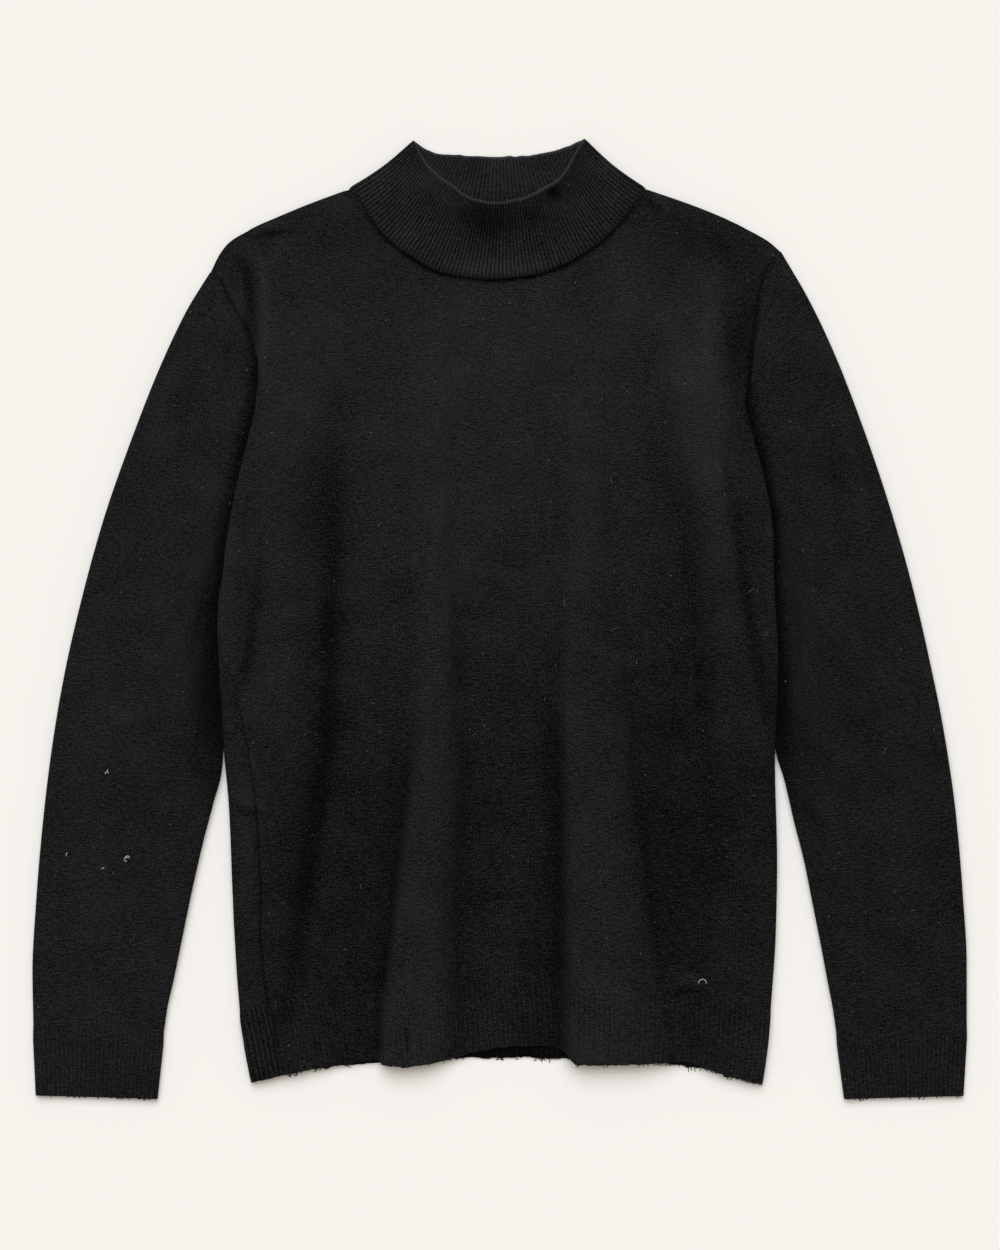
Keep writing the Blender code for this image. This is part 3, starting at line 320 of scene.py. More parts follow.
def front_tail(which, y, share):
    """A line of the front beside a seam, from share 0 where the front is flat to 1 at the seam."""
    edge, radius, under, seam = side_at(which, y)
    along = -TAIL + (seam - SEAM / 2 + TAIL) * share
    out, height = round_side(which, y, along, under)
    height = np.where(along < 0, front_height(which * out, y), height)

    start = edge - radius - TAIL
    flat_out = start + (read(ARMHOLES[which], "out", y) - SEAM / 2 - start) * share
    low = read(ARMHOLES[which], "front", y)
    flat_height = low + (front_height(which * flat_out, y) - low) * ease((edge + 1.5 - flat_out) / 6)

    first, last = SWING[which]
    swing = ease((y - first) / (last - first))
    return out + (flat_out - out) * swing, height + (flat_height - height) * swing


print("front's height on the right ridge:", front_height(read(RIGHT_RIDGE, "x", -300.0), -300.0).round(1))

# %% [markdown]
# Both body panels are made as a grid of points: columns that follow the folds and the seams, and rows
# that are level up to the chest and then spread to the shoulders and the neck. A grid like this keeps the
# knit's own direction, which the material follows later, as a remesh would not.

# %% Grids of the body panels
STRETCH_ROW = 240       # the row that tells each column where to meet the top outline
TAIL_STEPS = 22
FRONT_ZONES = (9, 8, 12, 9, 12, 9, 16, 8, 9)
FRONT_ROWS = (190, 60)  # level rows, and rows that spread to the top


def guide_lines(y):
    """Lines over the front that its columns lie between, from the wearer's right to the left."""
    starts, ridges = [], []
    for which, ridge in ((RIGHT, RIGHT_RIDGE), (LEFT, LEFT_RIDGE)):
        edge, radius, _, _ = side_at(which, y)
        starts.append(which * (edge - radius - TAIL))
        crest = read(ridge, "x", y)
        ridges += [crest - read(ridge, "steep", y), crest, crest + read(ridge, "gentle", y)]
    return [starts[0], read(HOLLOWS, "right", y)] + ridges + [read(HOLLOWS, "left", y), starts[1]]


def front_columns():
    """Every column of the front: its kind, its zone or side, and its share of that."""
    steps = 1 - (1 - np.linspace(0, 1, TAIL_STEPS + 1)) ** 1.4
    columns = [("tail", RIGHT, share) for share in steps[:0:-1]]
    for zone, count in enumerate(FRONT_ZONES):
        columns += [("zone", zone, step / count) for step in range(count)]
    return columns + [("tail", LEFT, share) for share in steps]


def front_place(place, y):
    kind, which, part = place
    if kind == "tail":
        out, height = front_tail(which, y, part)
        return which * out, height
    lines = guide_lines(y)
    x = lines[which] + (lines[which + 1] - lines[which]) * part
    return x, front_height(x, y)


def line_across(place_at, line_y, columns):
    """Cloth along a line from side to side, whose y is a function of x."""
    points = []
    for place in columns:
        x = np.array([0.0])
        for _ in range(4):
            y = line_y(x)
            x, height = place_at(place, y)
        points.append((x[0], y[0], height[0]))
    return np.array(points)


def stretch_to_top(x, columns_at, neck_ends, tips):
    """Where a panel's columns, at x on the stretch row, meet its top outline."""
    right_neck, left_neck = columns_at
    right_end, left_end = x[0], x[-1]
    top = np.interp(x, (right_neck, left_neck), neck_ends)
    top = np.where(x < right_neck, np.interp(x, (right_end, right_neck), (tips[0], neck_ends[0])), top)
    return np.where(x > left_neck, np.interp(x, (left_neck, left_end), (neck_ends[1], tips[1])), top)


def bend_over_shoulder(x, y, height):
    """The front turns down to the back at its shoulder line."""
    below = top_y(x, front_neck_y) - y
    lowest = REST + CLOTH + SEAM
    turn = np.sqrt(1 - (1 - np.clip(below / SHOULDER_BEND, 0, 1)) ** 2)
    past_neck = np.maximum(FRONT_NECK[0].x - x, x - FRONT_NECK[-1].x)
    amount = ease((past_neck + 1) / 6)
    return height - (height - lowest) * (1 - turn) * amount


def panel_grid(place_at, columns, band_line, neck_y, inner, rows, bends):
    """A body panel from its rib line to its shoulders and neck, as rows of points."""
    base = line_across(place_at, band_line, columns)
    shares = np.linspace(0, 1, rows[0] + 1)
    share_top = 1 - (1 - np.linspace(0, 1, rows[1] + 1)[1:]) ** 1.6
    x = np.array([place_at(place, np.array([float(STRETCH_ROW)]))[0][0] for place in columns])
    order = 1 if x[0] < x[-1] else -1
    neck_ends = (FRONT_NECK[0].x, FRONT_NECK[-1].x)
    tips = (-(ARMHOLES[RIGHT][-1].out - SEAM / 2), ARMHOLES[LEFT][-1].out - SEAM / 2)
    top_x = stretch_to_top(x[::order], inner, neck_ends, tips)[::order]
    lines = []
    for place, start, end_x in zip(columns, base, top_x):
        end = top_y(end_x, neck_y) - SEAM / 2
        level = start[1] + (LEVEL_ROW - start[1]) * shares
        y = np.concatenate([level, LEVEL_ROW + (end - LEVEL_ROW) * share_top])
        x, height = place_at(place, y)
        share = np.concatenate([np.zeros(rows[0] + 1), share_top])
        x = x + (end_x - place_at(place, np.array([end]))[0][0]) * ease(share)
        if bends:
            height = bend_over_shoulder(x, y, height)
        lines.append(np.column_stack([x, y, height]))
    return np.array(lines).transpose(1, 0, 2)


hollows = [read(HOLLOWS, which, STRETCH_ROW) for which in ("right", "left")]
front_surface = panel_grid(front_place, front_columns(), front_band_line, front_neck_y, hollows,
                           FRONT_ROWS, True)
print("front grid", front_surface.shape)

# %% [markdown]
# The back lies on the surface. Only its two edges turn up: on the wearer's right they make the strip of
# back that shows beside the rolled seam.

# %% The back
UNDERARM_TURN = {RIGHT: (-30, -15), LEFT: (-30, -6)}
BACK_TAIL_STEPS = 20
BACK_FLOOR_STEPS = 60
BACK_ROWS = (120, 24)


def back_tail(which, y, share):
    """A line of the back beside a side, from share 0 at the seam to 1 where it lies flat."""
    edge, radius, _, seam = side_at(which, y)
    seam = seam + SEAM / 2
    along = seam + (np.pi * radius + UNDER_REACH - seam) * share
    out, height = round_side(which, y, along, REST)
    seam_out = read(ARMHOLES[which], "out", y) - SEAM / 2
    flat_out = seam_out + (edge - radius - UNDER_REACH - seam_out) * share
    first, last = UNDERARM_TURN[which]
    flat = ease((y - first) / (last - first))
    return out + (flat_out - out) * flat, height + (REST - height) * flat


def back_columns():
    """Every column of the back, from the wearer's left to the right, so that it faces down."""
    steps = np.linspace(0, 1, BACK_TAIL_STEPS + 1)
    columns = [("tail", LEFT, share) for share in steps]
    columns += [("floor", 0, step / BACK_FLOOR_STEPS) for step in range(1, BACK_FLOOR_STEPS)]
    return columns + [("tail", RIGHT, share) for share in steps[::-1]]


def back_place(place, y):
    kind, which, part = place
    if kind == "tail":
        out, height = back_tail(which, y, part)
        return which * out, height
    right, left = (which * back_tail(which, y, 1.0)[0] for which in (RIGHT, LEFT))
    return left + (right - left) * part, np.full_like(y, REST)


inner = [which * back_tail(which, float(STRETCH_ROW), 1.0)[0] for which in (RIGHT, LEFT)]
back_surface = panel_grid(back_place, back_columns(), back_band_line, back_neck_y, inner, BACK_ROWS, False)
print("back grid", back_surface.shape)

# %% [markdown]
# A sleeve that lies flat is a tube with two long bends. Its last ring is the armhole, which bows in
# towards the body, so each ring of the sleeve takes a share of that bow.

# %% Sleeves
# The two ends of each section across a sleeve, its share of the armhole's bow, how far it hooks out
# before the inner edge, and how high its upper cloth lies at its bends and between them.
SECTION = "outer_x outer_y inner_x inner_y bow hook bend level"
SLEEVES = {
    RIGHT: table(SECTION, (
        (363.6, -316.8, 262, -322.2, 0, 0, 5.2, 3.8), (364.3, -273.5, 259, -302, 0, 0, 5.6, 4.2),
        (361.3, -218.9, 254.3, -281, 0, 0, 6, 4.6), (355.9, -156.5, 248, -250, 0, 0, 6, 4.8),
        (348.1, -94.1, 239.5, -209, 0, 0, 6, 4.8), (338.6, -39.5, 231, -172, 0, 0, 6, 4.8),
        (326, 15.1, 223.4, -143, 0, 0, 6, 4.8), (308.8, 77.5, 217, -117.6, 0.06, 5, 6, 4.8),
        (287, 139.9, 215.4, -90, 0.16, 10, 5.6, 4.7), (263.6, 199.1, 214.8, -59.4, 0.34, 15.6, 4.8, 4.3),
        (241.8, 244.4, 216.6, -32.8, 0.62, 16.3, 4.2, 3.9), (225.2, 270.5, 215.2, -16, 1, 0, 4, 3.6),
    )),
    LEFT: table(SECTION, (
        (363.7, -316.8, 262, -322.2, 0, 0, 5.2, 3.8), (363.6, -267.3, 259.2, -303, 0, 0, 5.6, 4.2),
        (360.4, -212.7, 255.6, -284, 0, 0, 6, 4.6), (354.9, -150.3, 250.2, -254.8, 0, 0, 6, 4.8),
        (345.5, -86.3, 243.9, -222.8, 0, 0, 6, 4.8), (334.8, -33.3, 236.9, -187.7, 0, 0, 6, 4.8),
        (321.4, 24.4, 229.4, -158.1, 0, 0, 6, 4.8), (304.2, 85.3, 222.4, -127.7, 0.06, 5, 6, 4.8),
        (281.6, 152.3, 214.8, -98, 0.16, 10, 5.6, 4.7), (259, 210.1, 214.2, -66.2, 0.34, 15.1, 4.8, 4.3),
        (238.7, 252.2, 214.2, -38.5, 0.62, 16.5, 4.2, 3.9), (218.4, 286.5, 212.6, -20, 1, 0, 3.7, 3.6),
    )),
}
CUFF_ENDS = dict(zip((RIGHT, LEFT), table(SECTION, (
    (361.1, -370.8, 267.6, -373.6, 0, 0, 4.6, 3.6), (360.5, -371.2, 268.8, -373.6, 0, 0, 4.6, 3.6),
))))
ARMHOLE_POINTS = 240
END_EASE = (0.0, 0.4)   # extra gap of the sleeve at the shoulder tip and at the underarm
SLEEVE_BOW = 36
SLEEVE_ROWS = 170


def flat_tube_ring(upper, lower, top_height, spacings):
    """One ring of a tube that lies on the surface. upper and lower are its two lines from end to end in
    plan, top_height gives the middle of the upper cloth by share, and spacings the places by share."""
    ring = []
    for line, shares, is_upper in ((upper, spacings[0], True), (lower, spacings[1], False)):
        length = np.linalg.norm(np.diff(line, axis=0), axis=1).sum()
        shares = np.asarray(shares)
        places = np.linspace(0, 1, len(line))
        plan = np.stack([np.interp(shares, places, line[:, axis]) for axis in (0, 1)], axis=1)
        top = top_height(shares)
        radius = (top - REST) / 2
        from_end = np.minimum(shares, 1 - shares) * length
        round_part = np.sqrt(1 - (1 - np.clip(from_end / radius, 0, 1)) ** 2)
        height = REST + radius + radius * round_part * (1 if is_upper else -1)
        part = np.column_stack([plan, height])
        ring.append(part if is_upper else part[::-1][1:-1])
    return np.concatenate(ring)


def sewn_share(row):
    """How nearly a sleeve's section is the one that is sewn into the armhole, which bows in fully."""
    return np.clip((row.bow - 0.75) / 0.25, 0, 1)


def sleeve_line(which, row):
    """A sleeve's section line in plan, from its outer to its inner bend, with the armhole's bow."""
    armhole = ARMHOLES[which]
    share = np.linspace(0, 1, ARMHOLE_POINTS)
    tip, pit = armhole[-1], armhole[0]
    seam_y = tip.y + (pit.y - tip.y) * share
    ease_out = np.where(share < 0.5, *END_EASE) * (2 * share - 1) ** 8
    at_seam = read(armhole, "out", seam_y) + SEAM / 2 + ease_out - (tip.out + (pit.out - tip.out) * share)
    sewn = sewn_share(row)
    bow_out = at_seam * sewn - SLEEVE_BOW * row.bow * np.sin(np.pi * share) ** 2 * (1 - sewn)
    hook_out = row.hook * np.sin(np.pi * share ** 4) * (1 - sewn)
    chord = np.array([row.inner_x - row.outer_x, row.inner_y - row.outer_y])
    out = row.outer_x + chord[0] * share + bow_out + hook_out
    line = np.column_stack([which * out, row.outer_y + chord[1] * share])
    inset = chord / np.linalg.norm(chord) * CLOTH / 2
    return line + np.outer(1 - 2 * share, inset * np.array([which, 1])) * (1 - sewn)


def sleeve_heights(which, row):
    """How high the upper cloth lies across a sleeve's section."""
    armhole = ARMHOLES[which]

    def top_height(share):
        own = row.bend + (row.level - row.bend) * np.clip(1 - (2 * share - 1) ** 4, 0, 1)
        seam_y = armhole[-1].y + (armhole[0].y - armhole[-1].y) * share
        return own + (read(armhole, "sleeve", seam_y) - own) * sewn_share(row)
    return top_height


def tube_shares(count):
    """Places across a tube, closer together round its two bends."""
    even = np.linspace(-1, 1, count + 1)
    return (1 + np.sign(even) * (1 - (1 - np.abs(even)) ** 1.5)) / 2


def between_rows(rows, share):
    """A row part of the way through a table, by its share of the table's length."""
    knots = np.linspace(0, 1, len(rows))
    return type(rows[0])(*(float(through(knots, column(rows, name), share)) for name in rows[0]._fields))


def tube_rings(which, rows, steps, upper, lower):
    """Rings along a sleeve or a cuff, with their points at shares across the upper and the lower side."""
    rings = []
    for share in np.linspace(0, 1, steps + 1):
        row = between_rows(rows, share)
        line = sleeve_line(which, row)
        rings.append(flat_tube_ring(line, line, sleeve_heights(which, row), (upper, lower)))
    return np.array(rings)[:, ::-which]


sleeve_surfaces = {which: tube_rings(which, SLEEVES[which], SLEEVE_ROWS, tube_shares(86), tube_shares(40))
                   for which in (RIGHT, LEFT)}
print("sleeve grid", sleeve_surfaces[RIGHT].shape)

# %% [markdown]
# A flat cloth never lies quite even. Small wrinkles and creases are laid over the large folds: each
# crease is a line of a few points with a width and a rise, which is below zero for a trough. Wide soft
# lumps, the same for the whole garment, keep the light on it from looking even.

# %% Creases, and grooves along seams
CREASE = "width rise points"
BODY_CREASES = table(CREASE, (
    (13, -2.4, ((-125, 165), (-129, 109), (-130, 62), (-132, 15), (-132, -32), (-133.5, -78),
            (-139, -125), (-145, -172), (-153, -219), (-159, -266), (-165, -305), (-176, -336))),
    (8, -1.5, ((-73, -110), (-79.6, -172), (-84.6, -219), (-89.7, -266), (-93.6, -305), (-96, -350))),
    (9, -1.7, ((41, -20), (40, -78), (44, -125), (43.5, -172), (44.5, -219), (44.5, -266), (45, -345))),
    (7, -1, ((-37, 30), (-33, -32), (-28, -78), (-26, -125), (-30, -172), (-34, -219), (-33, -300),
            (-36, -340))),
    (6, -1.6, ((98, -40), (105, -125), (112, -172), (118, -219), (123, -266), (130, -305), (134, -345))),
    (9, -1.1, ((122, 150), (129, 109), (143, 62), (152, 15), (156, -32), (160, -78), (162, -125),
            (168, -180))),
    (8, -2.6, ((174, 140), (178, 109), (184, 62), (191, 15), (200, -32), (209, -88))),
    (7, -2, ((-184, 60), (-189, 15), (-195, -32), (-208, -72))),
    (9, 1.4, ((-209, -131), (-198, -140), (-184, -146), (-174, -146))),
    (4.5, -2, ((-210, -141), (-198, -150), (-186, -151), (-176, -156))),
    (6, 1.4, ((-207, -158), (-196, -166), (-186, -164))),
    (3.2, -2.4, ((133, -297), (139, -292), (147, -289), (155, -290), (161, -293))),
    (8, 1.8, ((134, -285), (148, -280), (162, -284))), (4, -2.2, ((-196, 297), (-182, 299), (-162, 300))),
    (6, 1.4, ((-198, 304), (-180, 305.5), (-160, 307))),
    (7.5, -3, ((-217, 288), (-204, 280), (-196.5, 269), (-194, 250), (-193.5, 226), (-194, 190))),
    (7, 1.8, ((-207, 298), (-193, 288), (-185, 272), (-183.5, 250), (-183.5, 226), (-184.5, 180))),
    (20, -2.4, ((190, 272), (188, 235), (186, 205), (190, 176), (194, 150))),
    (10, 1.2, ((166, 270), (163, 235), (162, 205), (165, 170))),
    (5, -1.8, ((110, 330), (118, 322), (126, 316))), (8, 1.6, ((117, 331), (127, 322), (134, 314))),
    (3, -1.6, ((-73, -310), (-72, -326), (-70, -344))),
    (10, -0.9, ((-140, 190), (-156, 160), (-172, 132), (-186, 108))),
    (12, 0.8, ((-158, 90), (-160, 20), (-166, -60), (-170, -160))),
    (14, 0.7, ((10, -150), (8, -240), (6, -320))), (9, 0.9, ((-40, 60), (-20, 40), (10, 30), (40, 34))),
    (7, -0.8, ((-60, 20), (-30, 6), (10, -4))), (4, -0.9, ((-20, -214), (0, -218), (24, -214))),
    (4, -0.8, ((-14, -250), (6, -255), (34, -250))), (5, 0.9, ((-22, -232), (2, -236), (30, -231))),
    (5, -0.8, ((-60, -176), (-76, -186), (-90, -182))), (8, 0.8, ((70, -20), (98, -34), (124, -30))),
    (6, -0.8, ((96, -92), (118, -84), (142, -90))), (6, 0.8, ((-150, -40), (-128, -50), (-106, -44))),
    (5, -0.7, ((-120, 200), (-96, 188), (-70, 194))), (7, 0.7, ((-150, 240), (-120, 226), (-92, 232))),
))
SLEEVE_CREASES = table(CREASE, (
    (6, -1.4, ((240, -143), (247, -158), (252, -170))), (9, 1.2, ((247, -138), (256, -152), (262, -168))),
    (8, -1, ((-300, -120), (-280, -135), (-258, -130))), (10, 1.1, ((-320, -60), (-292, -78), (-262, -70))),
    (9, 0.9, ((-250, 200), (-262, 170), (-270, 130))), (7, -0.9, ((-236, 190), (-246, 150), (-250, 110))),
    (9, 1, ((262, 170), (276, 120), (284, 70))), (7, -0.9, ((250, 160), (262, 112), (268, 60))),
    (8, -0.9, ((300, -60), (280, -82), (262, -90))), (8, 0.8, ((330, -230), (312, -238), (292, -232))),
    (8, 0.8, ((-340, -240), (-316, -250), (-292, -244))),
))

# Where a piece is sewn on, the seam pulls both pieces down into a groove: the neck, both armholes and
# the stretch of the right side seam that lies on top.
ROLLED_SEAM = [row for row in BODY_SIDES[RIGHT] if row.seam < -5]
SEAM_GROOVES = table(CREASE, (
    (6.6, -2.6, tuple((row.x, row.y) for row in FRONT_NECK)),
    (2.8, -1.8, tuple((-row.out, row.y) for row in ARMHOLES[RIGHT][8:])),
    (2.8, -1.8, tuple((row.out, row.y) for row in ARMHOLES[LEFT][8:])),
    (2.2, -1.0, tuple((row.radius - row.edge - row.seam, row.y) for row in ROLLED_SEAM)),
))
print("creases:", len(BODY_CREASES), "on the body,", len(SLEEVE_CREASES), "on the sleeves")

# %% [markdown]
# The wrinkles and creases are heights that are added to a grid of points. They lie only on cloth that
# faces up and is clear of the surface, and no trough sinks into the cloth below.

# %% Wrinkles, and adding them to a grid
LYING = 1.5             # cloth whose middle is lower than this lies on the surface
TROUGH_FLOOR = REST + CLOTH + 0.35      # no trough sinks below this, because cloth may lie under it


def crease_rise(creases, x, y):
    """Height that creases add at places, each with a soft profile and soft ends."""
    total = np.zeros_like(x)
    for crease in creases:
        points = np.array(crease.points, float)
        legs = np.diff(points, axis=0)
        lengths = np.linalg.norm(legs, axis=1)
        starts = np.concatenate(([0], np.cumsum(lengths)))
        nearest = np.full(x.shape, 1e9)
        along = np.zeros_like(x)
        for start, leg, length, before in zip(points, legs, lengths, starts):
            share = np.clip(((x - start[0]) * leg[0] + (y - start[1]) * leg[1]) / length ** 2, 0, 1)
            distance = np.hypot(x - start[0] - leg[0] * share, y - start[1] - leg[1] * share)
            closer = distance < nearest
            nearest = np.where(closer, distance, nearest)
            along = np.where(closer, before + share * length, along)
        profile = (1 - np.clip(nearest / crease.width, 0, 1) ** 2) ** 2
        total += crease.rise * profile * np.sin(np.pi * np.clip(along / starts[-1], 0.02, 0.98)) ** 0.6
    return total


def lumps(x, y, across, along, seed):
    """Smooth random heights from -1 to 1 with lumps of a given size."""
    rng = np.random.default_rng(seed)
    heights = rng.uniform(-1, 1, (97, 97))
    u, v = x / across + 40.3, y / along + 40.7
    i, j = np.floor(u).astype(int), np.floor(v).astype(int)
    s, t = ease(u - i), ease(v - j)
    i, j = i % 96, j % 96
    low = heights[i, j] * (1 - s) + heights[i + 1, j] * s
    high = heights[i, j + 1] * (1 - s) + heights[i + 1, j + 1] * s
    return low * (1 - t) + high * t


def slack(x, y):
    """The small unevenness of a soft knit that has been laid down by hand."""
    wide = lumps(x, y, 46, 70, 3) * 0.7 + lumps(x, y, 21, 30, 5) * 0.45
    fine = lumps(x, y, 17, 9, 7) * 0.16 + lumps(x, y, 9, 5.5, 9) * 0.07
    return wide + fine


def normals_of(grid, closed):
    if closed:
        across = np.roll(grid, -1, axis=1) - np.roll(grid, 1, axis=1)
    else:
        across = np.gradient(grid, axis=1)
    up = np.gradient(grid, axis=0)
    normals = np.cross(across, up)
    return normals / np.maximum(np.linalg.norm(normals, axis=2, keepdims=True), 1e-9)


def clear_of(z, start, over):
    """0 for cloth that lies on the surface, and 1 once it has risen past start by over."""
    return np.clip((z - start) / over, 0, 1)


def add_slack(grid, closed, creases=(), amount=1.0, edge_rows=(0, 0)):
    """Lays small wrinkles on what faces up, and none where cloth lies on the surface or is sewn: they
    fade in over edge_rows from its first and last row."""
    x, y, z = grid.transpose(2, 0, 1)
    amounts = np.clip(normals_of(grid, closed)[..., 2], 0, 1) * clear_of(z, LYING, 1.5)
    rows = np.arange(len(grid))[:, None]
    for from_edge, width in zip((rows, rows[::-1]), edge_rows):
        if width:
            amounts = amounts * ease(from_edge / width)
    settled = z + (slack(x, y) * amount + crease_rise(creases, x, y)) * amounts
    over = settled - TROUGH_FLOOR
    held = TROUGH_FLOOR + (over + np.hypot(over, 0.6)) / 2
    result = grid.copy()
    result[..., 2] = np.where(settled < z, np.minimum(z, held), settled)
    return result


# %% [markdown]
# Each grid becomes a mesh with a UV map in metres of cloth: across the knit and along it. The knit's
# pattern reads that map, so its columns of stitches run down the body and down each sleeve, as they are
# knitted.

# %% From grids to cloth
pieces = {}
SHARP = 60               # degrees past which an edge of the cloth is a corner


def cloth_map(grid, closed):
    """A UV map that holds metres of cloth across and along the knit."""
    rows, columns = grid.shape[:2]
    steps = np.linalg.norm(np.diff(grid, axis=1), axis=2)
    across = np.concatenate([np.zeros((rows, 1)), np.cumsum(steps, axis=1)], axis=1)
    middle = columns // 2
    across = across - across[:, middle:middle + 1]
    rises = np.linalg.norm(np.diff(grid, axis=0), axis=2)
    along = np.concatenate([np.zeros((1, columns)), np.cumsum(rises, axis=0)])
    if closed:
        last = np.linalg.norm(grid[:, 0] - grid[:, -1], axis=1)[:, None]
        across = np.concatenate([across, across[:, -1:] + last], axis=1)
        along = np.concatenate([along, along[:, :1]], axis=1)
    return across, along


def cloth_mesh(name, grid, closed):
    rows, columns = grid.shape[:2]
    row, column = np.indices((rows - 1, columns if closed else columns - 1)).reshape(2, -1)
    corners = [(row, column), (row, column + 1), (row + 1, column + 1), (row + 1, column)]
    faces = np.stack([r * columns + c % columns for r, c in corners], axis=1)
    mesh = bpy.data.meshes.new(name)
    mesh.from_pydata(((grid.reshape(-1, 3) - MIDDLE) * MM).tolist(), [], faces.tolist())
    both = [np.stack([part[r, c] for r, c in corners], axis=1) for part in cloth_map(grid, closed)]
    layer = mesh.uv_layers.new(name="knit")
    layer.data.foreach_set("uv", (np.stack(both, axis=2).ravel() * MM).astype(np.float32))
    return mesh


def close_wall(mesh, ends):
    """Adds the faces at a wall's open ends and joins its first and last rows, which lie on each other."""
    form = bmesh.new()
    form.from_mesh(mesh)
    form.verts.ensure_lookup_table()
    for face in ends:
        form.faces.new([form.verts[corner] for corner in face])
    bmesh.ops.remove_doubles(form, verts=form.verts, dist=0.00001)
    form.to_mesh(mesh)
    form.free()
    mesh.update()


def add_object(name, data):
    new = bpy.data.objects.new(name, data)
    bpy.context.scene.collection.objects.link(new)
    return new


def cloth_wall(name, grid, closed, worn, groove=0.0, outer=0.0, inner=0.0):
    """A closed wall of cloth round its middle surface. outer and inner raise its two sides. Each point is
    marked with two numbers that the finish reads: groove is 1 between ribs, where painted shade goes, and the
    other number paints light and shade into the colour, together with the dye's unevenness."""
    rows, columns = grid.shape[:2]
    outer, inner, groove, worn = (np.broadcast_to(v, (rows, columns)) for v in (outer, inner, groove, worn))
    normals = normals_of(grid, closed)
    upper = grid + normals * (CLOTH / 2 + outer[..., None])
    lower = grid - normals * (CLOTH / 2 + inner[..., None])
    mesh = cloth_mesh(name, np.concatenate([upper, lower[::-1], upper[:1]]), closed)
    for label, values in (("groove", groove), ("worn", worn)):
        marks = np.concatenate([values, values[::-1], values[:1]]).astype(np.float32)
        mesh.attributes.new(label, "FLOAT", "POINT").data.foreach_set("value", marks.ravel())
    ends = []
    for column in (() if closed else (0, columns - 1)):
        for row in range(rows - 1):
            face = [at * columns + column for at in (row, row + 1, 2 * rows - 2 - row, 2 * rows - 1 - row)]
            ends.append(face if column == 0 else face[::-1])
    close_wall(mesh, ends)
    mesh.shade_smooth()
    mesh.set_sharp_from_angle(angle=np.radians(SHARP))
    pieces[name] = add_object(name, mesh)
    print(name, len(mesh.polygons) * 2, "triangles")


# %% [markdown]
# Light and shade are painted into the black's colour: lighter on the chest and on what stands up, darker in
# hollows, in seams and on cloth that lies under another piece. So each point gets a number for its painted
# light and shade and its uneven dye, which the finish reads.

# %% Painted light and shade, and the jersey pieces
TONE = "y worn"
# Painted light: how light the front's colour is from the hem up, lightest on the chest.
BODY_PAINTED_LIGHT = table(TONE, (
    (-360, 0.34), (-250, 0.29), (-120, 0.3), (0, 0.4), (120, 0.49), (215, 0.52), (270, 0.46), (335, 0.34),
))
# The tone of each sleeve's colour along its length.
SLEEVE_TONE = {
    RIGHT: table(TONE, (
        (-380, 0.365), (-150, 0.38), (60, 0.42), (250, 0.42),
    )),
    LEFT: table(TONE, (
        (-380, 0.32), (-150, 0.31), (60, 0.36), (250, 0.37),
    )),
}
BACK_TONE = 0.36      # tone of the back's colour, which is only just seen
TURNED_UP = 2.4         # the back's cloth above this height has turned up at a side
CREASE_LIGHT = 0.10       # how much lighter a crease is painted for each millimetre that it stands up, and darker for each that it sinks
# How much painted shade lies in the seams' grooves.
SEAM_SHADE = 0.24

# Spots of painted light and shade, lighter or darker than the rest.
SPOT = "x y across along change"
BODY_LIGHT_SPOTS = table(SPOT, (
    (-200, 268, 9, 14, -0.12), (190, 236, 15, 44, -0.16), (176, 288, 32, 13, -0.15),
    (117, 240, 40, 30, 0.03), (-213, 45, 7, 62, 0.14), (-178, 88, 17, 42, -0.11), (-186, 15, 18, 40, -0.05),
    (178, 25, 26, 60, -0.08), (150, 205, 26, 30, -0.05), (-150, 300, 50, 14, -0.05),
    (30, 200, 90, 50, 0.02), (-176, -285, 30, 100, -0.08), (-164, -176, 26, 60, -0.13),
    (-128, -100, 16, 110, -0.08), (168, 120, 22, 60, -0.04), (-150, 302, 40, 16, -0.03),
    (-172, -60, 18, 80, -0.05), (-199, 144, 8, 26, -0.08), (-132, 226, 45, 45, -0.06),
    (176, -90, 60, 130, -0.1), (168, -180, 24, 50, -0.04), (82, 15, 16, 44, -0.07),
    (172, -325, 26, 28, -0.08), (152, 301, 22, 15, -0.14), (85, -60, 30, 90, -0.03),
    (-40, -300, 50, 40, 0.03), (100, -300, 40, 60, 0.03), (194, 78, 15, 92, -0.14),
    (-120, 325, 22, 10, 0.15), (-199, -155, 14, 90, 0.14), (15, -140, 34, 90, 0.045),
    (-138, 98, 34, 50, -0.07), (-40, -235, 24, 40, -0.04), (-192, 115, 13, 60, -0.04),
))

# How much painted shadow darkens a sleeve beside the body's fold, and how far that reaches.
SLEEVE_SHADOWS = {
    RIGHT: table("y most reach", (
        (-175, 0, 14), (-145, 0.22, 16), (-110, 0.41, 22), (-78, 0.53, 22), (-32, 0.6, 17), (15, 0.6, 13),
        (62, 0.57, 9), (109, 0.51, 9), (155, 0.57, 9), (185, 0.51, 9), (215, 0.11, 8),
    )),
    LEFT: table("y most reach", (
        (-150, 0, 14), (-110, 0.41, 16), (-78, 0.51, 12), (-32, 0.6, 9), (15, 0.62, 7), (95, 0.6, 6.5),
        (155, 0.51, 10), (190, 0.39, 10), (225, 0, 8),
    )),
}


def spots(rows, x, y):
    return sum(spot.change * np.exp(-((x - spot.x) / spot.across) ** 2 - ((y - spot.y) / spot.along) ** 2)
               for spot in rows)


def mottle(x, y, seed):
    """Unevenness of the dye, in patches of a few sizes."""
    wide = 0.03 * lumps(x, y, 60, 60, seed) + 0.03 * lumps(x, y, 24, 18, seed + 1)
    return wide + 0.02 * lumps(x, y, 9, 6, seed + 2)


def crease_painted_light(creases, x, y):
    """Painted light and shade of creases: what stands up is lighter, and troughs and seams are darker."""
    return CREASE_LIGHT * crease_rise(creases, x, y) + SEAM_SHADE * crease_rise(SEAM_GROOVES, x, y)


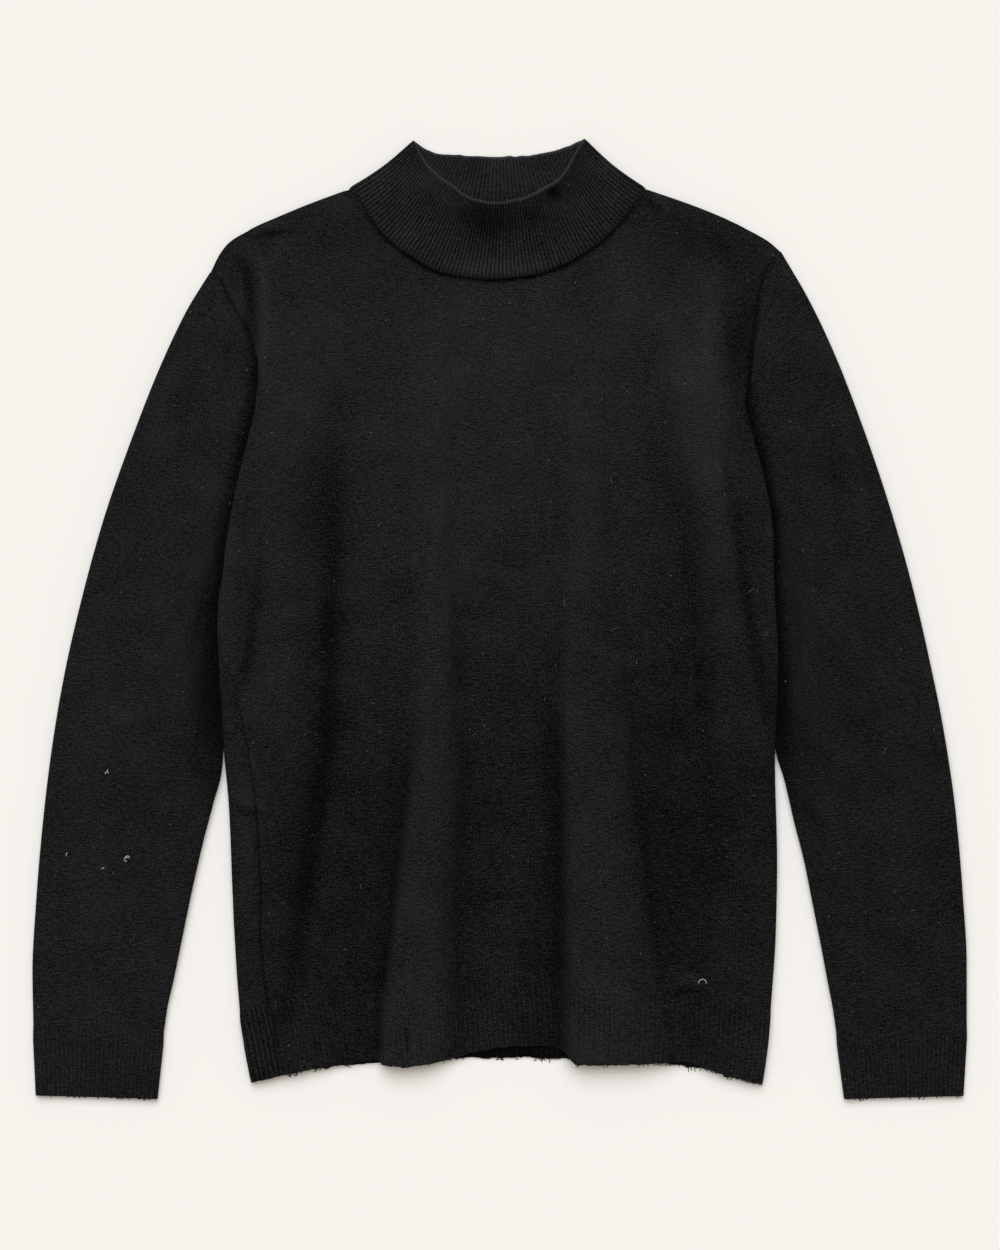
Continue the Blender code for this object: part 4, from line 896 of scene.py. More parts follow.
def body_painted_light(grid):
    """Painted light and shade of the front: lighter on the chest and on what stands up, darker in its
    hollows, with the dye's unevenness.
    """
    x, y, _ = grid.transpose(2, 0, 1)
    reach = np.linspace(-56, 56, 15)
    around = sum(front_height(x + step, y) for step in reach) / len(reach)
    # Painted light and shade: cloth higher than its surroundings is lighter, and hollows are darker.
    proud = np.clip((front_height(x, y) - around) / 5.0, -1, 1)
    large = read(BODY_PAINTED_LIGHT, "worn", y) + 0.15 * proud
    return large + crease_painted_light(BODY_CREASES, x, y) + spots(BODY_LIGHT_SPOTS, x, y) + mottle(x, y, 21)


def sleeve_painted_light(which, grid):
    """A sleeve's tone is even along its outer edge, with painted shadow where the body folds over it, painted
    light and shade on its creases, and the dye's unevenness.
    """
    x, y, _ = grid.transpose(2, 0, 1)
    beside = np.clip(which * x - read(BODY_SIDES[which], "edge", y), 0, 99)
    painted_shadow = read(SLEEVE_SHADOWS[which], "most", y) * np.exp(-(beside / read(SLEEVE_SHADOWS[which], "reach", y)) ** 2)
    large = read(SLEEVE_TONE[which], "worn", y) - painted_shadow
    return large + crease_painted_light(SLEEVE_CREASES, x, y) + mottle(x, y, 31)


front = add_slack(front_surface, False, BODY_CREASES + SEAM_GROOVES, 1.0, (3, 1))
cloth_wall("front_cloth", front, False, body_painted_light(front))
back = add_slack(back_surface, False, BODY_CREASES + SEAM_GROOVES, 1.0, (3, 1))
# The back's tone, with the front's painted light and shade where it turns up at a side.
back_painted_light = BACK_TONE + mottle(back[..., 0], back[..., 1], 41)
back_painted_light = back_painted_light + (body_painted_light(back) - back_painted_light) * clear_of(back[..., 2], TURNED_UP, 1.5)
cloth_wall("back_cloth", back, False, back_painted_light)
for which, name in ((RIGHT, "sleeve_cloth_right"), (LEFT, "sleeve_cloth_left")):
    sleeve = add_slack(sleeve_surfaces[which], True, SLEEVE_CREASES + SEAM_GROOVES, 0.8, (3, 1))
    cloth_wall(name, sleeve, True, sleeve_painted_light(which, sleeve))

# %% [markdown]
# Rib knit stands up in columns. The hem, the cuffs and the collar are knitted in one and one rib: a
# column of stitches that comes forward, then one that goes back. Here each rib is real relief on a
# closed wall, on both of its sides, because the hem's and the collar's insides can be seen.

# %% Ribs
RIB_RISE = 0.8
POINTS_A_RIB = 6


def rib_profile(place):
    """Rounded ribs with narrow grooves between them. place counts ribs."""
    return np.abs(np.cos(np.pi * place)) ** 0.7


def groove_of(place, rows):
    """1 in the middle of each groove, for every row of a grid, where the finish paints shade between the
    ribs.
    """
    return (1 - rib_profile(place)) ** 1.5 * np.ones((rows, 1))


# %% [markdown]
# The hem band follows the front's folds. Its lower edge is left as it was cut: no fold or stitch holds
# it, so it is a little uneven and sheds short threads.

# %% Hem bands
HEM_RIB_PITCH = 3.85
HEM_ROWS = 22
HEM_CLEAR = 2.6         # a hem's cloth above this height is clear of the surface, so its ribs stand out
HEM_LIGHTER = 0.06         # how much lighter the hem band's colour is than the cloth above it


def fray(grid, seed):
    """Pulls the cut edge in and out by part of a millimetre, and the rows next to it less."""
    places = np.arange(grid.shape[1]) / POINTS_A_RIB
    pull = 0.7 * lumps(places, 0 * places, 2.3, 1, seed) + 0.5 * lumps(places, 0 * places, 0.6, 1, seed + 1)
    result = grid.copy()
    result[:3, :, 1] += np.outer((1.0, 0.6, 0.25), pull)
    return result


def hem_grid(place_at, columns, band_line):
    """A hem band as rows of points, with its number of ribs."""
    lines = [line_across(place_at, lambda x, share=share: band_line(x, share), columns)
             for share in np.linspace(0, 1, 5)]
    ribs = int(np.linalg.norm(np.diff(lines[0], axis=0), axis=1).sum() / HEM_RIB_PITCH)
    coarse = np.array([spread(line, ribs * POINTS_A_RIB + 1) for line in lines])
    at, knots = np.linspace(0, 1, HEM_ROWS + 1), np.linspace(0, 1, len(lines))
    return np.apply_along_axis(lambda values: np.interp(at, knots, values), 0, coarse), ribs


def hem_knit(grid, ribs):
    """A hem band's relief, its grooves, and how clear of the surface it lies."""
    places = np.linspace(0, ribs, grid.shape[1])
    rows = np.arange(len(grid))[:, None]
    relief = RIB_RISE * rib_profile(places) * (0.55 + 0.45 * ease(rows / 2))
    relief = relief * (0.15 + 0.85 * ease(rows[::-1] / 3))
    return relief, groove_of(places, len(grid)), clear_of(grid[..., 2], HEM_CLEAR, 1.0)


front_hem, front_ribs = hem_grid(front_place, front_columns(), front_band_line)
front_hem = fray(add_slack(front_hem, False, BODY_CREASES, 0.8, (0, 3)), 71)
relief, groove, clear = hem_knit(front_hem, front_ribs)
# How much painted shade the front hem's rib grooves get, uneven along the band.
groove = groove * (0.38 + 0.20 * lumps(front_hem[..., 0], front_hem[..., 1], 26, 40, 61))
cloth_wall("hem_rib_front", front_hem, False, body_painted_light(front_hem) + HEM_LIGHTER, groove, 0.7 * relief * clear)

ARCH_SHADOW = table(SPOT, ((5, -345, 70, 30, -0.46),))    # painted shadow: the back is darker under the front's arch
back_hem, back_ribs = hem_grid(back_place, back_columns(), back_band_line)
back_hem = fray(back_hem, 81)
relief, groove, clear = hem_knit(back_hem, back_ribs)
worn = BACK_TONE + spots(ARCH_SHADOW, back_hem[..., 0], back_hem[..., 1])
cloth_wall("hem_rib_back", back_hem, False, worn, groove, relief * clear, 0.8 * relief * (1 - clear))
print("hem ribs:", front_ribs, "in front,", back_ribs, "behind")

# %% [markdown]
# A cuff is the sleeve's own tube in rib. Only its upper half has relief, because the lower half lies on
# the surface.

# %% Cuffs
CUFF_RIBS = 28
CUFF_ROWS = 16
CUFF_POINTS = CUFF_RIBS * POINTS_A_RIB + 1
CUFF_LIGHTER = 0.04        # how much lighter a cuff's colour is than the sleeve above it

for which, name in ((RIGHT, "cuff_rib_right"), (LEFT, "cuff_rib_left")):
    ends = (CUFF_ENDS[which], SLEEVES[which][0])
    grid = tube_rings(which, ends, CUFF_ROWS, np.linspace(0, 1, CUFF_POINTS), tube_shares(30))
    halves = [np.linspace(0, CUFF_RIBS, points) for points in (CUFF_POINTS, grid.shape[1] - CUFF_POINTS)]
    places = np.concatenate(halves)
    relief = RIB_RISE * rib_profile(places) * (np.arange(len(places)) < CUFF_POINTS) * np.ones((len(grid), 1))
    relief[-3:] *= np.array([0.75, 0.45, 0.15])[:, None]
    relief, groove = (part[:, ::-which] for part in (relief, groove_of(places, len(grid))))
    grid = add_slack(grid, True, (), 0.35, (0, 4))
    cloth_wall(name, grid, True, sleeve_painted_light(which, grid) + CUFF_LIGHTER, 0.28 * groove, relief, relief * 0.6)

# %% [markdown]
# The collar is a short tube of finer rib, sewn on round the neck. The front has sunk lower than the
# back, so the inside of the back shows, and the top edge rolls over softly, as rib does.

# %% Collar
COLLAR_RIBS = 84        # across the front
COLLAR_BACK_RIBS = 56   # across the back, which is stretched wider
# How high the collar's upper cloth lies in the middle and at its two bends, by share of its height.
COLLAR_RISE = table("share mid bend", (
    (0, 3.8, 3.6), (0.03, 5.4, 4.6), (0.09, 7, 5.2), (0.35, 6.6, 5.4), (0.55, 7.2, 5.4), (0.7, 9.2, 5.3),
    (0.85, 12.2, 5.1), (0.95, 13.8, 5), (1, 13.9, 4.8),
))
COLLAR_FRONT = table(PLACE, (
    (-66.3, 372.4), (-59.3, 358.3), (-49.1, 346.6), (-39, 338.8), (-19.5, 326.2), (-3, 323.9), (14, 326.2),
    (32, 334), (42.9, 340.3), (51.5, 350.5), (57, 360.6), (64.7, 373.8),
))
COLLAR_BACK = table(PLACE, (
    (-66.3, 372.4), (-57, 366), (-44.5, 362.4), (-1.6, 360.4), (23.4, 361.4), (42.9, 365.3), (54.6, 369.4),
    (64.7, 373.8),
))
COLLAR_CREASES = table(CREASE, (
    (24, -2.4, ((-24, 303), (-6, 308), (12, 303))), (9, 1.8, ((-58, 338), (-48, 328), (-40, 318))),
    (7, -1.4, ((-44, 322), (-36, 312), (-30, 300))), (6, -3.4, ((32, 330), (41, 333), (50, 339))),
    (7, 1.4, ((36, 322), (48, 316), (54, 304))), (10, 1.2, ((56, 326), (66, 312), (74, 298))),
    (7, -1.2, ((66, 344), (80, 336), (92, 326))), (7, -1, ((-92, 320), (-80, 328), (-70, 338))),
))
# Spots of painted light and shade on the collar: a dark hollow in its front, a dark notch on the wearer's
# left, lighter patches elsewhere.
COLLAR_LIGHT_SPOTS = table(SPOT, (
    (-8, 308, 19, 16, -0.4), (41, 332, 6.5, 5.5, -0.8), (-42, 325, 12, 8, 0.14), (0, 272, 70, 9, 0.34),
    (-78, 296, 26, 12, 0.1), (86, 296, 26, 12, 0.06), (58, 318, 16, 12, 0.08), (-92, 342, 18, 16, 0.2),
    (90, 335, 16, 14, 0.1), (-60, 343, 12, 12, 0.24), (80, 352, 14, 8, 0.24), (-20, 368, 6, 14, -0.14),
    (26, 318, 9, 12, -0.12), (-30, 352, 20, 8, -0.1), (40, 354, 14, 8, -0.1),
))
COLLAR_WAIST = 3.6 / 92 # how far the collar's sides draw in half-way up, as a share
COLLAR_TONE = (0.56, 0.72)      # tone of its outer side, and of the inner side of its back
EDGE_HIGHLIGHT = 1.3         # painted highlight: how much lighter the top edge is than the rest
# Places up the collar, closer together at its seam and at its top edge.
COLLAR_SHARES = np.concatenate([
    np.linspace(0, 0.12, 9), np.linspace(0.12, 0.88, 22)[1:], np.linspace(0.88, 1, 9)[1:]])


def collar_line(rows, count):
    """A line of the collar in plan, smooth through its table and even along its length."""
    x = np.linspace(rows[0].x, rows[-1].x, 400)
    return spread(np.column_stack([x, read(rows, "y", x, along="x")]), count)


def neck_edge(grid, count):
    """The neck edge of a panel in plan, from the wearer's right to the left, a seam's gap away."""
    top = grid[-1, :, :2]
    top = top[np.argsort(top[:, 0])]
    in_neck = (top[:, 0] > FRONT_NECK[0].x - SEAM) & (top[:, 0] < FRONT_NECK[-1].x + SEAM)
    return spread(top[in_neck] + np.array([0, SEAM]), count)


def collar_grid():
    points = COLLAR_RIBS * POINTS_A_RIB + 1
    edges = (neck_edge(front_surface, points), neck_edge(back_surface, points))
    tops = (collar_line(COLLAR_FRONT, points), collar_line(COLLAR_BACK, points))
    ribs, places = np.arange(points) / POINTS_A_RIB, np.linspace(0, 1, points)
    wave = 0.35 * rib_profile(ribs) + 0.5 * lumps(ribs, 0 * ribs, 3.0, 1.0, 12)
    rings = []
    for share in COLLAR_SHARES:
        upper, lower = (edge + (top - edge) * share for edge, top in zip(edges, tops))
        at_edge = wave * ease((share - 0.8) / 0.2) * np.sin(np.pi * places) ** 0.5
        for line, amount in ((upper, 1.0), (lower, 1.4)):
            line[:, 0] *= 1 - COLLAR_WAIST * np.sin(np.pi * share)
            line[:, 1] += amount * at_edge
        bend, mid = (float(read(COLLAR_RISE, name, share, along="share")) for name in ("bend", "mid"))

        def top_height(place, bend=bend, mid=mid):
            return bend + (mid - bend) * np.sin(np.pi * place) ** 2
        rings.append(flat_tube_ring(upper, lower, top_height, (places, places)))
    return np.array(rings)


collar = add_slack(collar_grid(), True, COLLAR_CREASES, 0.5, (1, 0))
rows, count = collar.shape[:2]
upper = np.arange(count) <= count // 2
ribs = np.arange(count) / POINTS_A_RIB
ribs = np.where(upper, ribs, COLLAR_RIBS + (ribs - COLLAR_RIBS) * COLLAR_BACK_RIBS / COLLAR_RIBS)
relief = RIB_RISE * rib_profile(ribs) * np.ones((rows, 1))
relief[:3] *= np.array([0.2, 0.5, 0.8])[:, None]
relief[-3:] *= np.array([0.9, 0.7, 0.5])[:, None]
# Painted highlight along the collar's rolled top edge.
rolled = ease((COLLAR_SHARES - 0.955) / 0.045)[:, None] * EDGE_HIGHLIGHT
x, y, _ = collar.transpose(2, 0, 1)
worn = np.where(upper, *COLLAR_TONE) + spots(COLLAR_LIGHT_SPOTS, x, y) + rolled + mottle(x, y, 51)
cloth_wall("collar_rib", collar, True, worn, 1.6 * groove_of(ribs, rows), relief * upper, relief * 0.9)

# %% [markdown]
# The cloth is black cotton jersey, washed a few times. Black dye still shows the knit, because fibres
# on the surface catch light: that is a sheen, strongest where the cloth turns away from the eye. Washing
# leaves it a little uneven, in short streaks across the stitches where thick and thin yarn lie.

# %% Finishes
def linear(hex_colour):
    """An sRGB hex value as linear red, green, blue and alpha."""
    parts = [int(hex_colour[k:k + 2], 16) / 255 for k in (1, 3, 5)]
    return [p / 12.92 if p <= 0.04045 else ((p + 0.055) / 1.055) ** 2.4 for p in parts] + [1.0]


def add_node(tree, kind, inputs=(), **settings):
    """A node with its settings, and its inputs by name or number: a value, or a socket to link."""
    node = tree.nodes.new(kind)
    for name, value in settings.items():
        setattr(node, name, value)
    for key, value in dict(inputs).items():
        if isinstance(value, bpy.types.NodeSocket):
            tree.links.new(value, node.inputs[key])
        else:
            node.inputs[key].default_value = value
    return node


def calculate(tree, operation, *values):
    return add_node(tree, "ShaderNodeMath", dict(enumerate(values)), operation=operation).outputs[0]


def noise(tree, place, scale, detail, roughness):
    return add_node(tree, "ShaderNodeTexNoise", {
        "Vector": place, "Scale": scale, "Detail": detail, "Roughness": roughness}).outputs[0]


def knit_finish(name, dark, light, cool, groove_shade, wale, course, depth):
    """Knit with its stitches wale millimetres wide and course high, drawn coarse enough to be seen."""
    material = bpy.data.materials.new(name)
    material.use_nodes = True
    tree = material.node_tree
    tree.nodes.clear()
    place = add_node(tree, "ShaderNodeUVMap", uv_map="knit").outputs[0]
    split = add_node(tree, "ShaderNodeSeparateXYZ", {0: place}).outputs
    across = calculate(tree, "MULTIPLY", split[0], 1 / (wale * MM))
    arm = calculate(tree, "PINGPONG", across, 1.0)
    along = calculate(tree, "MULTIPLY", split[1], 1 / (course * MM))
    lean = calculate(tree, "MULTIPLY_ADD", arm, 0.6, along)
    stitch = calculate(tree, "SINE", calculate(tree, "MULTIPLY", lean, 2 * np.pi))
    groove = calculate(tree, "PINGPONG", across, 0.5)
    loops = calculate(tree, "MULTIPLY_ADD", groove, 1.6, stitch)

    long_way = add_node(tree, "ShaderNodeMapping", {"Vector": place, "Scale": (170, 760, 1)}).outputs[0]
    streaks = noise(tree, long_way, 1.0, 4.0, 0.7)
    grains = noise(tree, place, 760.0, 2.0, 0.7)
    clouds = noise(tree, place, 26.0, 4.0, 0.65)

    # The first mark read here paints light and shade into the colour, with the dye's unevenness, and the
    # groove mark paints shade between ribs. light_end is the lightest colour, where most light is painted.
    share = add_node(tree, "ShaderNodeAttribute", attribute_name="worn").outputs["Fac"]
    trough = add_node(tree, "ShaderNodeAttribute", attribute_name="groove").outputs["Fac"]
    parts = ((streaks, 1.7), (grains, 2.6), (clouds, 0.5), (loops, 0.03), (trough, -groove_shade))
    for part, amount in parts:
        share = calculate(tree, "MULTIPLY_ADD", part, amount, share)
    share = calculate(tree, "MAXIMUM", calculate(tree, "ADD", share, -2.42), 0.0)

    patches = noise(tree, place, 110.0, 3.0, 0.5)
    patches = add_node(tree, "ShaderNodeMapRange", {0: patches, 1: 0.35, 2: 0.7}).outputs[0]
    light_end = add_node(tree, "ShaderNodeMix", {
        0: patches, 6: linear(light), 7: linear(cool)}, data_type="RGBA").outputs[2]
    colour = add_node(tree, "ShaderNodeMix", {
        0: share, 6: linear(dark), 7: light_end}, data_type="RGBA", clamp_factor=False).outputs[2]

    relief = calculate(tree, "MULTIPLY_ADD", loops, 0.2, grains)
    bump = add_node(tree, "ShaderNodeBump", {
        "Strength": 0.8, "Distance": depth * MM, "Height": relief}).outputs[0]
    shader = add_node(tree, "ShaderNodeBsdfPrincipled", {
        "Base Color": colour, "Roughness": 0.95, "Normal": bump, "Specular IOR Level": 0.06,
        "Sheen Weight": 0.02, "Sheen Roughness": 0.5, "Sheen Tint": linear("#c4c6d0")})
    add_node(tree, "ShaderNodeOutputMaterial", {"Surface": shader.outputs[0]})
    return material


jersey = knit_finish("black_cotton_jersey", "#020202", "#2b2b2b", "#2a2c30", 0.30, 3.0, 2.2, 0.5)
rib_knit = knit_finish("black_cotton_rib", "#020202", "#2b2b2c", "#2b2c31", 0.46, 3.4, 1.8, 0.35)
for name, piece in pieces.items():
    piece.data.materials.append(rib_knit if "rib" in name else jersey)
print("finishes:", jersey.name, "and", rib_knit.name)

# %% [markdown]
# Black knit shows every bit of lint. Short pale fibres lie all over the upper side, a few curled ones are
# easy to see, and the raw hem and the cuffs shed ends of their own yarn. One node tree strews small bent
# fibres over what faces up; a second turns drawn lines into threads.

# %% Node trees for fibres
def new_tree(name, sizes):
    """An empty geometry tree, and the outputs of its group input: the geometry and the named sizes."""
    tree = bpy.data.node_groups.new(name, "GeometryNodeTree")
    tree.interface.new_socket("Geometry", in_out="INPUT", socket_type="NodeSocketGeometry")
    tree.interface.new_socket("Geometry", in_out="OUTPUT", socket_type="NodeSocketGeometry")
    for label, kind in sizes:
        tree.interface.new_socket(label, in_out="INPUT", socket_type="NodeSocket" + kind)
    return tree, tree.nodes.new("NodeGroupInput").outputs


def thread_along(tree, curve, thickness, sides):
    half = calculate(tree, "MULTIPLY", thickness, 0.5)
    ring = add_node(tree, "GeometryNodeCurvePrimitiveCircle", {
        "Resolution": sides, "Radius": half}).outputs[0]
    return add_node(tree, "GeometryNodeCurveToMesh", {
        "Curve": curve, "Profile Curve": ring, "Fill Caps": True}).outputs[0]


def end_tree(tree, geometry, material):
    real = add_node(tree, "GeometryNodeRealizeInstances", {0: geometry}).outputs[0]
    done = add_node(tree, "GeometryNodeSetMaterial", {"Geometry": real, "Material": material}).outputs[0]
    add_node(tree, "NodeGroupOutput", {0: done})


def strewn_tree():
    """Bent fibres at random places on what faces up, turned and sized at random."""
    tree, given = new_tree("strewn_fibres", (
        ("Per square metre", "Float"), ("Bend radius", "Float"), ("Bend", "Float"), ("Thickness", "Float"),
        ("Lift", "Float"), ("Seed", "Int"), ("Material", "Material")))
    normal = add_node(tree, "GeometryNodeInputNormal").outputs[0]
    rise = add_node(tree, "ShaderNodeSeparateXYZ", {0: normal}).outputs[2]
    level = calculate(tree, "GREATER_THAN", rise, 0.93)
    points = add_node(tree, "GeometryNodeDistributePointsOnFaces", {
        "Mesh": given["Geometry"], "Selection": level, "Density": given["Per square metre"],
        "Seed": given["Seed"]}).outputs["Points"]
    lift = add_node(tree, "ShaderNodeCombineXYZ", {2: given["Lift"]}).outputs[0]
    points = add_node(tree, "GeometryNodeSetPosition", {"Geometry": points, "Offset": lift}).outputs[0]
    arc = add_node(tree, "GeometryNodeCurveArc", {
        "Resolution": 7, "Radius": given["Bend radius"], "Sweep Angle": given["Bend"]}).outputs[0]
    centred = calculate(tree, "MULTIPLY", given["Bend radius"], -1.0)
    centred = add_node(tree, "ShaderNodeCombineXYZ", {0: centred}).outputs[0]
    arc = add_node(tree, "GeometryNodeTransform", {"Geometry": arc, "Translation": centred}).outputs[0]
    fibre = thread_along(tree, arc, given["Thickness"], 4)
    turn, size = (add_node(tree, "FunctionNodeRandomValue", {
        0: low, 1: high, "Seed": given["Seed"]}, data_type="FLOAT_VECTOR").outputs[0]
        for low, high in (((0, 0, 0), (0, 0, 6.28)), ((0.3, 0.3, 0.8), (1.5, 1.5, 1.2))))
    laid = add_node(tree, "GeometryNodeInstanceOnPoints", {
        "Points": points, "Instance": fibre, "Rotation": turn, "Scale": size}).outputs[0]
    end_tree(tree, laid, given["Material"])
    return tree


def thread_tree():
    """Every line of a mesh as a round thread of one thickness."""
    tree, given = new_tree("threads", (("Thickness", "Float"), ("Material", "Material")))
    curves = add_node(tree, "GeometryNodeMeshToCurve", {0: given["Geometry"]}).outputs[0]
    end_tree(tree, thread_along(tree, curves, given["Thickness"], 5), given["Material"])
    return tree


def grow(name, mesh, tree, sizes):
    """The plain mesh that a tree makes from a mesh, as an object of its own."""
    source = add_object(name + "_source", mesh)
    modifier = source.modifiers.new("tree", "NODES")
    modifier.node_group = tree
    for socket in tree.interface.items_tree:
        if socket.name in sizes:
            modifier[socket.identifier] = sizes[socket.name]
    bpy.context.view_layer.update()
    graph = bpy.context.evaluated_depsgraph_get()
    made = bpy.data.meshes.new_from_object(source.evaluated_get(graph), depsgraph=graph)
    source.modifiers.clear()
    bpy.data.objects.remove(source)
    made.name = name
    made.shade_smooth()
    print(f"{name}: {len(made.polygons)} faces")
    return add_object(name, made)


def plain_finish(name, colour, roughness=0.9):
    """A dull finish of one colour, for paper and for fibres too thin to show any pattern."""
    material = bpy.data.materials.new(name)
    material.use_nodes = True
    inputs = material.node_tree.nodes["Principled BSDF"].inputs
    inputs["Base Color"].default_value = linear(colour)
    inputs["Roughness"].default_value = roughness
    inputs["Specular IOR Level"].default_value = 0.1
    return material


strewn, threads = strewn_tree(), thread_tree()
print("trees:", strewn.name, "and", threads.name)

# %% [markdown]
# The strewn fibres need the upper side as one mesh. Lint that stands out is listed one by one: where it is,
# how long, how much it curls and which way it points.

# %% Lint
FACES_UP = 0.3          # the least upward share of a face's normal where fibres can lie
LOWEST_SEEN = 0.0028    # metres: what lies lower is hidden


def upper_side():
    """What faces up and can be seen, of the front, the sleeves and the ribs, as one mesh."""
    form = bmesh.new()
    for name in ("front_cloth", "hem_rib_front", "sleeve_cloth_right", "sleeve_cloth_left", "collar_rib",
                 "cuff_rib_right", "cuff_rib_left"):
        form.from_mesh(pieces[name].data)
    hidden = [face for face in form.faces
              if face.normal.z < FACES_UP or face.calc_center_median().z < LOWEST_SEEN]
    bmesh.ops.delete(form, geom=hidden, context="FACES")
    mesh = bpy.data.meshes.new("upper_side")
    form.to_mesh(mesh)
    form.free()
    return mesh


FIBRE = "x y length curl turn"
BRIGHT_LINT = table(FIBRE, (
    (-306.5, -119.1, 4, 200, 20), (-305.4, -118.4, 3, 120, 100), (-291.7, -186.2, 7, 250, 60),
    (-290.2, -184.6, 5, 160, 10), (-337, -183, 3, 60, 70), (-308.9, -194, 2.6, 60, 30),
    (157.6, -280.6, 10, 190, 0),
))
DIM_LINT = table(FIBRE, (
    (-293, -187.6, 3.5, 90, 140), (87.4, 107.9, 4.5, 60, 110), (50.7, 13.5, 6.5, 80, 100),
    (89.7, -8.3, 5, 50, 30), (301, -102.7, 5.5, 40, 60), (321.4, -226.7, 3.5, 90, 1),
    (-173.2, -299.3, 4.5, 40, 80), (195, 21.3, 5, 50, 40), (207.5, -10.7, 4.5, 70, 120),
    (359, -252.5, 3, 30, 90), (264.4, -299.3, 3.5, 40, 100), (-180, 60, 4, 60, 100),
    (-210, 90, 3.5, 50, 60), (-66, -40, 3, 50, 80), (120, 296, 2, 60, 20), (60, 216, 3, 60, 70),
    (-20, -90, 3.5, 80, 20), (10, -184, 3, 60, 140), (-108, -208, 3, 60, 90), (78, -196, 3, 60, 50),
    (0, 244, 1.8, 40, 10),
))


def arc_points(row, count=9):
    """A curled fibre in plan, about its own middle."""
    curl, turn = np.radians(row.curl), np.radians(row.turn)
    radius = row.length / curl
    angle = turn + np.linspace(-curl / 2, curl / 2, count) + np.pi / 2
    middle = np.array([np.cos(turn + np.pi / 2), np.sin(turn + np.pi / 2)]) * radius * 0.8
    return np.array([row.x, row.y]) - middle + radius * np.stack([np.cos(angle), np.sin(angle)], axis=1)


def lines_mesh(name, lines):
    """Open lines, in metres, as the edges of one mesh."""
    points, edges = [], []
    for line in lines:
        first = len(points)
        points += [tuple(point) for point in line]
        edges += [(first + step, first + step + 1) for step in range(len(line) - 1)]
    mesh = bpy.data.meshes.new(name)
    mesh.from_pydata(points, edges, [])
    return mesh


upper = upper_side()
upper_faces = BVHTree.FromPolygons([v.co for v in upper.vertices], [list(f.vertices) for f in upper.polygons])


def on_cloth(x, y, lift):
    """A point of the garment's upper side, in metres, some millimetres above it."""
    start = Vector(((x - MIDDLE[0]) * MM, (y - MIDDLE[1]) * MM, 0.1))
    hit = upper_faces.ray_cast(start, Vector((0, 0, -1)))[0]
    return start.x, start.y, (hit.z if hit else 0.0) + lift * MM


grey_fibre = plain_finish("grey_lint", "#7c7d80")
lint = grow("fine_lint", upper, strewn, {
    "Per square metre": 760.0, "Bend radius": 0.0010, "Bend": 1.5, "Thickness": 0.0002, "Lift": 0.0001,
    "Seed": 7, "Material": grey_fibre})
strays = [(lint, "front_panel")]
for name, fibres, thickness, finish, colour in (
        ("curled_lint", BRIGHT_LINT, 0.00042, "pale_lint", "#c9c8c4"),
        ("bent_lint", DIM_LINT, 0.00026, "dim_lint", "#626261")):
    lines = [[on_cloth(x, y, 0.2) for x, y in arc_points(row)] for row in fibres]
    sizes = {"Thickness": thickness, "Material": plain_finish(finish, colour)}
    strays.append((grow(name, lines_mesh(name, lines), threads, sizes), "front_panel"))

# %% [markdown]
# The front's raw hem and the cuffs end in loose yarn, thickest where the hem arches up over the back.

# %% Loose yarn
def yarn_end(rng, x, y, length, slack):
    """A yarn that leaves an edge towards the hem, wanders and sinks onto what lies below."""
    heading = np.radians(-90 + rng.uniform(-55, 55))
    bend = rng.uniform(-0.6, 0.6)
    points = [on_cloth(x, y + 0.8, 0.35)]
    for step in range(5):
        heading += bend
        x, y = x + np.cos(heading) * length / 5, y + np.sin(heading) * length / 5
        points.append(on_cloth(x, y, 0.35 + slack * (0.8 - 0.2 * step)))
    return points


ARCHED = 2.4            # the front's cut edge above this height is clear of what lies below
rng = np.random.default_rng(11)
edge = front_hem[0]
yarn_lines = []
# How many ends hang from the front's edge between two places across it, and the longest of them.
for count, low, high, longest in ((150, -200, 205, 4.5), (80, -36, 52, 5.0)):
    near = edge[(edge[:, 0] > low) & (edge[:, 0] < high) & (edge[:, 2] > ARCHED)]
    for x, y, _ in near[rng.integers(0, len(near), count)]:
        yarn_lines.append(yarn_end(rng, x, y, rng.uniform(1.5, longest), 1.5))
for x, y, _ in back_hem[0, rng.integers(0, back_hem.shape[1] // 2, 110)]:
    yarn_lines.append(yarn_end(rng, x, y, rng.uniform(1.2, 4.0), 0.6))
for which, cuff in CUFF_ENDS.items():
    for share in rng.uniform(0, 1, 26):
        x = cuff.inner_x + (cuff.outer_x - cuff.inner_x) * share
        y = cuff.inner_y + (cuff.outer_y - cuff.inner_y) * share
        yarn_lines.append(yarn_end(rng, which * x, y, rng.uniform(1.0, 3.0), 0.8))
sizes = {"Thickness": 0.00055, "Material": plain_finish("black_yarn", "#1f1f20")}
strays.append((grow("loose_yarn", lines_mesh("yarn_lines", yarn_lines), threads, sizes), "front_hem_rib"))
print("loose yarn:", len(yarn_lines), "ends")

# %% [markdown]
# The sweater lies on a large warm white sheet of paper. One wide soft light hangs above its collar and
# the room fills in the rest, so that shadows are faint and fall a little towards the hem.

